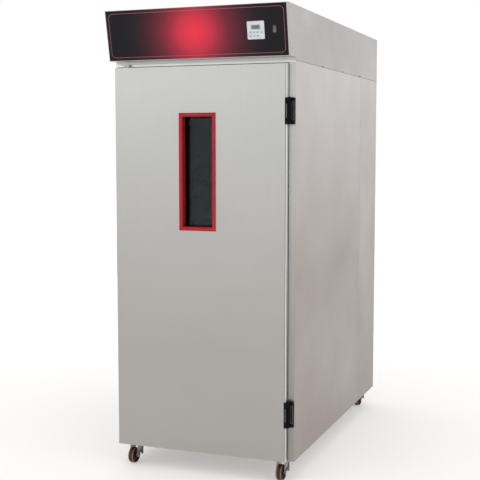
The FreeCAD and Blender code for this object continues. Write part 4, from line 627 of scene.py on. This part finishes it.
keyMarks = {
    "key_1": [[(-1.6, -1.3), (1.6, -1.3), (0, 1.5)]],
    "key_2": [[(-1.6, 1.3), (0, -1.5), (1.6, 1.3)]],
    "key_3": [[(-2, -0.4), (2, -0.4), (2, 0.4), (-2, 0.4)],
              [(-0.4, 0.6), (0.4, 0.6), (0.4, 2), (-0.4, 2)], [(-0.4, -2), (0.4, -2), (0.4, -0.6), (-0.4, -0.6)]],
    "key_4": [[(-2, -0.4), (2, -0.4), (2, 0.4), (-2, 0.4)]],
    "key_5": [[(-2.2, -1.4), (-0.4, 0), (-2.2, 1.4)], [(0.2, -1.4), (2, 0), (0.2, 1.4)]],
    "key_6": [[(-2, -1.3), (-0.9, -1.3), (-0.9, 1.3), (-2, 1.3)], [(0.9, -1.3), (2, -1.3), (2, 1.3), (0.9, 1.3)]],
    "key_7": [[(-1.3, -1.3), (1.3, -1.3), (1.3, 1.3), (-1.3, 1.3)]],
}
for name, outlines in keyMarks.items():
    low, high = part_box(name)
    face = (low + high) / 2
    signs = [flatShape([(x * mm, y * mm) for x, y in outline], 0.06 * mm) for outline in outlines]
    sign = joinPieces(signs)
    down = (topLevel - face.z) * math.cos(lean) + (face.y - headerNose) * math.sin(lean)
    laidOnPanel(sign, face.x, down, 5.0 * mm)
    finishPiece(sign, name + "_mark", name, markInk)

# Rocker switch: a bar on its upper end and a ring on its lower one, each on its own sloping face
rockerMarks = {"x": 382.0, "bar": (-848.3, 2093.9, 101.8), "ring": (-847.25, 2079.6, 86.8),
               "barWidth": 1.2, "barHeight": 5.6, "ringRadius": 2.6, "ringInner": 1.5, "thick": 0.08}
bar = flatShape([(x * rockerMarks["barWidth"] / 2 * mm, y * rockerMarks["barHeight"] / 2 * mm)
                 for x, y in ((-1, -1), (1, -1), (1, 1), (-1, 1))], rockerMarks["thick"] * mm)
ring = startWith("circle", vertices=24, radius=rockerMarks["ringRadius"] * mm, fill_type="NGON")
bpy.ops.object.mode_set(mode="EDIT")
bpy.ops.mesh.select_all(action="SELECT")
bpy.ops.mesh.inset(thickness=(rockerMarks["ringRadius"] - rockerMarks["ringInner"]) * mm)
bpy.ops.mesh.delete(type="FACE")
bpy.ops.object.mode_set(mode="OBJECT")
useModifier(ring, "SOLIDIFY", thickness=rockerMarks["thick"] * mm, offset=1)
for sign, name in ((bar, "bar"), (ring, "ring")):
    y, z, turn = rockerMarks[name]
    sign.rotation_euler = (math.radians(turn), 0, 0)
    sign.location = (rockerMarks["x"] * mm, y * mm, z * mm)
finishPiece(joinPieces([bar, ring]), "rocker_marks", "rocker", rockerInk)
print("controls made")

# Door seal: a bellows with two ribs and a soft bulb, its corners mitred; it stands for the plain seal
doorSeal = {"profile": ((0.0, 0.0), (0.7, 3.6), (1.6, 4.6), (2.8, 3.4), (3.9, 2.5), (5.0, 3.6), (6.1, 5.1),
                        (7.4, 5.7), (9.2, 5.7), (10.6, 5.2), (11.8, 3.4), (12.9, 3.0), (13.6, 1.8))}
sealLow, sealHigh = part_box("door_gasket")
seal = startWith("plane", size=1)
bpy.ops.object.mode_set(mode="EDIT")
bpy.ops.mesh.select_all(action="SELECT")
bpy.ops.transform.resize(value=(sealHigh.x - sealLow.x, sealHigh.z - sealLow.z, 1))
for before, after in zip(doorSeal["profile"], doorSeal["profile"][1:]):
    bpy.ops.mesh.inset(thickness=(after[0] - before[0]) * mm)
    bpy.ops.transform.translate(value=(0, 0, (after[1] - before[1]) * mm))
bpy.ops.mesh.inset(thickness=0.4 * mm)
bpy.ops.transform.translate(value=(0, 0, -doorSeal["profile"][-1][1] * mm))
bpy.ops.mesh.delete(type="FACE")
pick(seal, "EDGE", lambda edge: edge.is_boundary)
bpy.ops.mesh.bridge_edge_loops()
bpy.ops.mesh.select_all(action="SELECT")
bpy.ops.mesh.normals_make_consistent(inside=False)
bpy.ops.object.mode_set(mode="OBJECT")
seal.rotation_euler = (-math.pi / 2, 0, 0)
seal.location = ((sealLow.x + sealHigh.x) / 2, sealLow.y, (sealLow.z + sealHigh.z) / 2)
finishPiece(seal, "door_seal", "door", sealVinyl, smooth=50)
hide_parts("door_gasket")

# Window: a black rubber wedge holds the glass in the red reveal
glazing = {"width": 151, "height": 518, "border": 2.6, "depth": 13}
windowLow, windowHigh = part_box("window_frame")
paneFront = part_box("window_panes")[0].y
wedge = frameShape(glazing["width"] * mm - 0.2 * mm, glazing["height"] * mm - 0.2 * mm,
                   glazing["border"] * mm, 0, glazing["depth"] * mm)
bpy.ops.object.mode_set(mode="EDIT")
innerX = (glazing["width"] / 2 - glazing["border"]) * mm
innerZ = (glazing["height"] / 2 - glazing["border"]) * mm
pick(wedge, "EDGE", lambda edge: all(vert.co.z > glazing["depth"] / 2 * mm and abs(vert.co.x) < innerX + 0.3 * mm
                                     and abs(vert.co.y) < innerZ + 0.3 * mm for vert in edge.verts))
bpy.ops.mesh.bevel(offset=1.6 * mm, segments=3)
bpy.ops.object.mode_set(mode="OBJECT")
wedge.rotation_euler = (math.pi / 2, 0, 0)
wedge.location = ((windowLow.x + windowHigh.x) / 2, paneFront, (windowLow.z + windowHigh.z) / 2)
finishPiece(wedge, "glazing_wedge", "door", spacerBlack)
print("seals made")

# Sealant in the seams: a bead under the header on three sides, and one down each side
sealant = {"wide": 1.5, "deep": 1.0, "crown": 0.35}


def sealantBead(length):
    # A bead lying along x with a rounded face towards -y
    bead = startWith("cube", size=1)
    bpy.ops.object.mode_set(mode="EDIT")
    bpy.ops.mesh.select_all(action="SELECT")
    bpy.ops.transform.resize(value=(length, sealant["deep"] * mm, sealant["wide"] * mm))
    pick(bead, "EDGE", lambda edge: all(vert.co.y < 0 for vert in edge.verts)
         and abs(edge.verts[0].co.z - edge.verts[1].co.z) < 0.1 * mm)
    bpy.ops.mesh.bevel(offset=sealant["crown"] * mm, segments=3)
    bpy.ops.object.mode_set(mode="OBJECT")
    return bead


beads = []
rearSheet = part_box("back_sheet")
for hand in (-1, 1):
    sheetLow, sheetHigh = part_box("right_front_sheet" if hand > 0 else "left_front_sheet")
    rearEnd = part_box("right_rear_sheet" if hand > 0 else "left_rear_sheet")[1].y
    face = hand * (sideX - (0.3 + sealant["deep"] / 2) * mm)
    long = sealantBead(rearEnd - sheetLow.y - 1 * mm)
    long.rotation_euler = (0, 0, hand * math.pi / 2)
    long.location = (face, (sheetLow.y + rearEnd) / 2, sheetHigh.z + 0.75 * mm)
    upright = sealantBead(sheetHigh.z - sheetLow.z)
    upright.rotation_euler = (0, math.pi / 2, hand * math.pi / 2)
    upright.location = (face, sheetHigh.y + 0.75 * mm, (sheetLow.z + sheetHigh.z) / 2)
    beads += [long, upright]
across = sealantBead(rearSheet[1].x - rearSheet[0].x)
across.rotation_euler = (0, 0, math.pi)
across.location = (0, rearPlane - (0.3 + sealant["deep"] / 2) * mm, rearSheet[1].z + 0.75 * mm)
sealBeads = joinPieces(beads + [across])
finishPiece(sealBeads, "seam_sealant", "cabinet", sealantBlack)

# Screws: one pan head with a cross recess, modelled once and copied to every place
panHead = {"radius": 4.2, "height": 2.4, "dome": 1.1, "recess": 2.1, "slot": 0.9, "deep": 1.3, "sides": 20}
screw = startWith("cylinder", vertices=panHead["sides"], radius=panHead["radius"] * mm,
                  depth=panHead["height"] * mm, location=(0, 0, panHead["height"] / 2 * mm))
bpy.ops.object.mode_set(mode="EDIT")
pick(screw, "FACE", lambda face: face.normal.z > 0.9)
bpy.ops.mesh.inset(thickness=0.9 * mm)
pick(screw, "EDGE", lambda edge: all(vert.co.z > (panHead["height"] - 0.1) * mm
                                     and vert.co.length > (panHead["radius"] - 0.2) * mm for vert in edge.verts))
bpy.ops.transform.translate(value=(0, 0, -panHead["dome"] * mm))
pick(screw, "EDGE", lambda edge: all(vert.co.z > (panHead["height"] - 0.1) * mm for vert in edge.verts))
bpy.ops.mesh.bevel(offset=0.4 * mm, segments=2)
bpy.ops.object.mode_set(mode="OBJECT")
for turn in (0, math.pi / 2):
    tool = startWith("cube", size=1, rotation=(0, 0, turn),
                     scale=(2 * panHead["recess"] * mm, panHead["slot"] * mm, 2 * panHead["deep"] * mm),
                     location=(0, 0, panHead["height"] * mm))
    useModifier(screw, "BOOLEAN", operation="DIFFERENCE", object=tool, solver="EXACT")
    bpy.data.objects.remove(tool)

screwPlaces = {"header": ((-84, 2180), (-57, 2003), (1594, 2159), (1594, 1989))}
facing = {"right": (0, math.pi / 2, 0), "left": (0, -math.pi / 2, 0), "rear": (-math.pi / 2, 0, 0),
          "front": (math.pi / 2, 0, 0), "down": (math.pi, 0, 0)}


def screwsAt(places, name, body="cabinet", size=1.0):
    # places: point and the side that the head faces
    heads = []
    for number, (place, side) in enumerate(places):
        head = copyPiece(screw, place, facing[side])
        head.scale = (size, size, size)
        heads.append(head)
    finishPiece(joinPieces(heads), name, body, steelScrew, smooth=40)


headerScrews = []
for y, z in screwPlaces["header"]:
    for side, hand in (("left", -1), ("right", 1)):
        headerScrews.append(((hand * sideX, frontPlane + y * mm, z * mm), side))
rearX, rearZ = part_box("rear_grille")[1].x - 14 * mm, (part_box("rear_grille")[0].z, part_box("rear_grille")[1].z)
rearScrews = []
for x in (-rearX, 0, rearX):
    for z in (rearZ[0] + 14 * mm, rearZ[1] - 14 * mm):
        rearScrews.append(((x, rearPlane, z), "rear"))
backLow, backHigh = rearSheet
for x in (-rearX, rearX):
    for i in range(6):
        level = backLow.z + 40 * mm + i * (backHigh.z - backLow.z - 80 * mm) / 5
        rearScrews.append(((x, rearPlane, level), "rear"))
for x in (-rearX / 2, 0, rearX / 2):
    for z in (backLow.z + 16 * mm, backHigh.z - 16 * mm):
        rearScrews.append(((x, rearPlane, z), "rear"))
screwsAt(headerScrews, "header_screws", size=0.8)
screwsAt(rearScrews, "rear_screws")
print("sealant and screws made")

# Door head: a slim black strip on the frame over the door, a painted shadow for the gap above the door
headShadowStrip = {"left": -446, "right": 424, "low": 1943.4, "tall": 3.0, "proud": 1.4}
shadowStrip = startWith("plane", size=1)
bpy.ops.object.mode_set(mode="EDIT")
bpy.ops.mesh.select_all(action="SELECT")
bpy.ops.transform.resize(value=((headShadowStrip["right"] - headShadowStrip["left"]) * mm, headShadowStrip["tall"] * mm, 1))
bpy.ops.mesh.extrude_region_move(TRANSFORM_OT_translate={"value": (0, 0, headShadowStrip["proud"] * mm)})
bpy.ops.transform.resize(value=(1, 0.6, 1))
bpy.ops.mesh.select_all(action="SELECT")
bpy.ops.mesh.normals_make_consistent(inside=False)
bpy.ops.object.mode_set(mode="OBJECT")
useModifier(shadowStrip, "BEVEL", width=0.25 * mm, segments=2)
shadowStrip.rotation_euler = facing["front"]
shadowStrip.location = ((headShadowStrip["left"] + headShadowStrip["right"]) / 2 * mm, frontPlane,
                  (headShadowStrip["low"] + headShadowStrip["tall"] / 2) * mm)
finishPiece(shadowStrip, "head_shadow_strip", "cabinet", spacerBlack)

# Hinges: a raised rim round the slot in each frame leaf, and a rib on each door leaf, in paler nylon that is a
# painted highlight on the black hinges
hingeTrim = {"rimWidth": 12.2, "rimHeight": 84, "rimBorder": 2.6, "rimProud": 0.9, "ribWidth": 4.2,
             "ribHeight": 62, "ribProud": 0.9, "levels": (325, 1728), "rimX": 444.2, "ribX": 420.5}
leafFront = frontPlane - 13 * mm
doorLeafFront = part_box("hinge_door_leaves")[0].y
rims, ribs = [], []
for level in hingeTrim["levels"]:
    rim = frameShape(hingeTrim["rimWidth"] * mm, hingeTrim["rimHeight"] * mm, hingeTrim["rimBorder"] * mm,
                     3.2 * mm, hingeTrim["rimProud"] * mm, segments=4)
    useModifier(rim, "BEVEL", width=0.35 * mm, segments=2)
    rim.rotation_euler = facing["front"]
    rim.location = (hingeTrim["rimX"] * mm, leafFront, level * mm)
    rims.append(rim)
    rib = startWith("plane", size=1)
    bpy.ops.object.mode_set(mode="EDIT")
    bpy.ops.mesh.select_all(action="SELECT")
    bpy.ops.transform.resize(value=(hingeTrim["ribWidth"] * mm, hingeTrim["ribHeight"] * mm, 1))
    bpy.ops.mesh.bevel(offset=2 * mm, segments=4, affect="VERTICES")
    bpy.ops.object.mode_set(mode="OBJECT")
    useModifier(rib, "SOLIDIFY", thickness=hingeTrim["ribProud"] * mm, offset=1)
    useModifier(rib, "BEVEL", width=0.4 * mm, segments=2)
    rib.rotation_euler = facing["front"]
    rib.location = (hingeTrim["ribX"] * mm, doorLeafFront, level * mm)
    ribs.append(rib)
finishPiece(joinPieces(rims), "hinge_slot_rims", "cabinet", paintedHighlightNylon)
finishPiece(joinPieces(ribs), "hinge_ribs", "door", paintedHighlightNylon)

# Casters: a hexagon bolt with a washer at each corner of each plate
plateBolt = {"flats": 13, "head": 5.3, "washer": 8, "washerThick": 1.6, "spacing": (46, 66)}
bolt = startWith("cylinder", vertices=6, radius=plateBolt["flats"] / math.sqrt(3) * mm,
                 depth=plateBolt["head"] * mm,
                 location=(0, 0, (plateBolt["washerThick"] + plateBolt["head"] / 2) * mm))
bpy.ops.object.mode_set(mode="EDIT")
pick(bolt, "FACE", lambda face: face.normal.z > 0.9)
bpy.ops.mesh.inset(thickness=0.7 * mm)
bpy.ops.transform.translate(value=(0, 0, 0.5 * mm))
bpy.ops.object.mode_set(mode="OBJECT")
washer = startWith("cylinder", vertices=20, radius=plateBolt["washer"] * mm,
                   depth=plateBolt["washerThick"] * mm, location=(0, 0, plateBolt["washerThick"] / 2 * mm))
bpy.ops.object.mode_set(mode="EDIT")
pick(washer, "FACE", lambda face: face.normal.z > 0.9)
bpy.ops.mesh.inset(thickness=0.5 * mm)
bpy.ops.transform.translate(value=(0, 0, 0.25 * mm))
bpy.ops.object.mode_set(mode="OBJECT")
bolt = joinPieces([bolt, washer])
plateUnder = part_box("caster_plates")[1].z - 3 * mm
bolts = []
for joint in frame["joints"]:
    if joint["name"].endswith("_swivel"):
        x, y = joint["pos_m"][:2]
        for across in (-0.5, 0.5):
            for along in (-0.5, 0.5):
                bolts.append(copyPiece(bolt, (x + across * plateBolt["spacing"][0] * mm,
                                              y + along * plateBolt["spacing"][1] * mm, plateUnder),
                                       facing["down"]))
bpy.data.objects.remove(bolt)
finishPiece(joinPieces(bolts), "caster_bolts", "cabinet", zinc)
print("hinge trim and caster bolts made")

# Chamber: a wire guard over the fan's opening, screws along the duct, a rim round the lamp, a drain
guard = {"rings": (26, 48, 70, 92, 114, 132), "rise": 20, "wire": 1.5, "spokes": 8, "stand": 2.0}


def guardHeight(radius):
    # How far the domed guard stands in front of the duct at a radius in mm
    return guard["stand"] + guard["rise"] * (1 - (radius / guard["rings"][-1]) ** 2)


wires = []
for radius in guard["rings"]:
    ring = startWith("torus", major_radius=radius * mm, minor_radius=guard["wire"] * mm,
                     major_segments=48, minor_segments=8, location=(0, 0, guardHeight(radius) * mm))
    wires.append(ring)
for i in range(guard["spokes"]):
    turn = 2 * math.pi * i / guard["spokes"]
    curve = bpy.data.curves.new("spoke", "CURVE")
    curve.dimensions = "3D"
    curve.bevel_depth = guard["wire"] * mm
    curve.bevel_resolution = 2
    curve.use_fill_caps = True
    spline = curve.splines.new("POLY")
    steps = [8 + (guard["rings"][-1] - 8) * k / 8 for k in range(9)]
    spline.points.add(len(steps) - 1)
    for knot, radius in zip(spline.points, steps):
        height = (guardHeight(radius) + 1.6 * guard["wire"]) * mm
        knot.co = (radius * mm * math.cos(turn), radius * mm * math.sin(turn), height, 1)
    spoke = bpy.data.objects.new("spoke", curve)
    scene.collection.objects.link(spoke)
    makeActive(spoke)
    bpy.ops.object.convert(target="MESH")
    bpy.ops.object.mode_set(mode="EDIT")
    bpy.ops.mesh.select_all(action="SELECT")
    bpy.ops.mesh.remove_doubles(threshold=0.01 * mm)
    bpy.ops.mesh.normals_make_consistent(inside=False)
    bpy.ops.object.mode_set(mode="OBJECT")
    wires.append(bpy.context.active_object)
boss = startWith("cylinder", vertices=24, radius=14 * mm, depth=2 * mm,
                 location=(0, 0, (guardHeight(0) + 2 * guard["wire"]) * mm))
bpy.ops.object.mode_set(mode="EDIT")
pick(boss, "FACE", lambda face: face.normal.z > 0.9)
bpy.ops.mesh.inset(thickness=4 * mm)
bpy.ops.transform.translate(value=(0, 0, 1.2 * mm))
bpy.ops.object.mode_set(mode="OBJECT")
fanGuard = joinPieces(wires + [boss])
fanGuard.rotation_euler = facing["front"]
fanGuard.location = (0, ductFront, fanCentre.z)
finishPiece(fanGuard, "fan_guard", "cabinet", steelPin)

ductLow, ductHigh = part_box("air_duct")
chamberScrews = []
for x in (ductLow.x + 14 * mm, ductHigh.x - 14 * mm):
    for i in range(7):
        level = ductLow.z + 30 * mm + i * (ductHigh.z - ductLow.z - 60 * mm) / 6
        chamberScrews.append(((x, ductFront, level), "front"))
for i in range(4):
    turn = math.pi / 4 + i * math.pi / 2
    reach = (guard["rings"][-1] + 7) * mm
    chamberScrews.append(((reach * math.cos(turn), ductFront, fanCentre.z + reach * math.sin(turn)), "front"))
screwsAt(chamberScrews, "duct_screws")

lampRim = {"width": 256, "depth": 106, "border": 9, "corner": 10, "thickness": 3}
lampLow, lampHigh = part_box("chamber_lamp")
rim = frameShape(lampRim["width"] * mm, lampRim["depth"] * mm, lampRim["border"] * mm,
                 lampRim["corner"] * mm, lampRim["thickness"] * mm)
useModifier(rim, "BEVEL", width=0.8 * mm, segments=2)
rim.rotation_euler = facing["down"]
rim.location = ((lampLow.x + lampHigh.x) / 2, (lampLow.y + lampHigh.y) / 2, lampHigh.z)
finishPiece(rim, "lamp_rim", "cabinet", steelLiner)

drain = {"radius": 34, "thickness": 2.2, "holes": 8, "hole": 4.2, "circle": 19, "place": (0.0, 0.2)}
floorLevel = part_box("humidity_pan")[0].z
strainer = startWith("cylinder", vertices=40, radius=drain["radius"] * mm, depth=drain["thickness"] * mm,
                     location=(0, 0, drain["thickness"] / 2 * mm))
bpy.ops.object.mode_set(mode="EDIT")
pick(strainer, "FACE", lambda face: face.normal.z > 0.9)
bpy.ops.mesh.inset(thickness=4 * mm)
bpy.ops.transform.translate(value=(0, 0, -0.7 * mm))
bpy.ops.object.mode_set(mode="OBJECT")
punches = []
for i in range(drain["holes"] + 1):
    turn = 2 * math.pi * i / drain["holes"]
    reach = drain["circle"] * mm if i < drain["holes"] else 0
    punches.append(startWith("cylinder", vertices=16, radius=drain["hole"] * mm, depth=10 * mm,
                             location=(reach * math.cos(turn), reach * math.sin(turn), 0)))
punch = joinPieces(punches)
useModifier(strainer, "BOOLEAN", operation="DIFFERENCE", object=punch, solver="EXACT")
bpy.data.objects.remove(punch)
strainer.location = (drain["place"][0], drain["place"][1], floorLevel)
finishPiece(strainer, "drain_strainer", "cabinet", steelPin)
bpy.data.objects.remove(screw)
print("chamber fittings made")

# Studio: a pale floor, a white surround and soft lamps
studio = {"floorSize": 60.0, "floorColour": "#d9d8d7", "floorLift": 0.32, "surround": "#ffffff", "surroundStrength": 1.0,
          "frontPower": 12, "sidePower": 10}
bpy.ops.object.select_all(action="DESELECT")
bpy.ops.mesh.primitive_plane_add(size=studio["floorSize"], location=(0, 0, 0))
floor = bpy.context.active_object
floor.name = "studio_floor"
floorPaint = newMaterial("paleFloor")
floorShader = addNode(floorPaint, "ShaderNodeBsdfPrincipled",
                      {"Base Color": hexColour(studio["floorColour"]), "Roughness": 0.8,
                       "Emission Color": hexColour(studio["surround"]), "Emission Strength": studio["floorLift"]})
addNode(floorPaint, "ShaderNodeOutputMaterial", links={"Surface": floorShader.outputs["BSDF"]})
floor.data.materials.append(floorPaint)
world = bpy.data.worlds.new("paleSurround")
world.use_nodes = True
world.node_tree.nodes["Background"].inputs["Color"].default_value = hexColour(studio["surround"])
world.node_tree.nodes["Background"].inputs["Strength"].default_value = studio["surroundStrength"]
scene.world = world
scene.view_settings.view_transform = "Standard"


def softLamp(name, place, target, size, power):
    light = bpy.data.lights.new(name, "AREA")
    light.shape = "RECTANGLE"
    light.size, light.size_y = size
    light.energy = power
    lamp = bpy.data.objects.new(name, light)
    scene.collection.objects.link(lamp)
    lamp.location = place
    lamp.rotation_euler = (Vector(target) - Vector(place)).to_track_quat("-Z", "Y").to_euler()
    return lamp


softLamp("front_lamp", (-2.6, frontPlane - 3.2, 3.4), (0, frontPlane, 1.2), (2.6, 2.0), studio["frontPower"])
softLamp("side_lamp", (3.8, -0.6, 3.2), (0.4, 0, 1.3), (2.4, 2.0), studio["sidePower"])

# Camera: the photograph's angle
cameraPlace = {"x": 1.839, "ahead": 4.386, "height": 1.564, "tilt": 84.74, "turn": 20.68, "lens": 75.53}
camera = bpy.data.objects.new("camera", bpy.data.cameras.new("camera"))
scene.collection.objects.link(camera)
camera.location = (cameraPlace["x"], frontPlane - cameraPlace["ahead"], cameraPlace["height"])
camera.rotation_euler = (math.radians(cameraPlace["tilt"]), 0, math.radians(cameraPlace["turn"]))
camera.data.lens = cameraPlace["lens"]
camera.data.sensor_width = 36
scene.camera = camera
print("studio and camera placed")
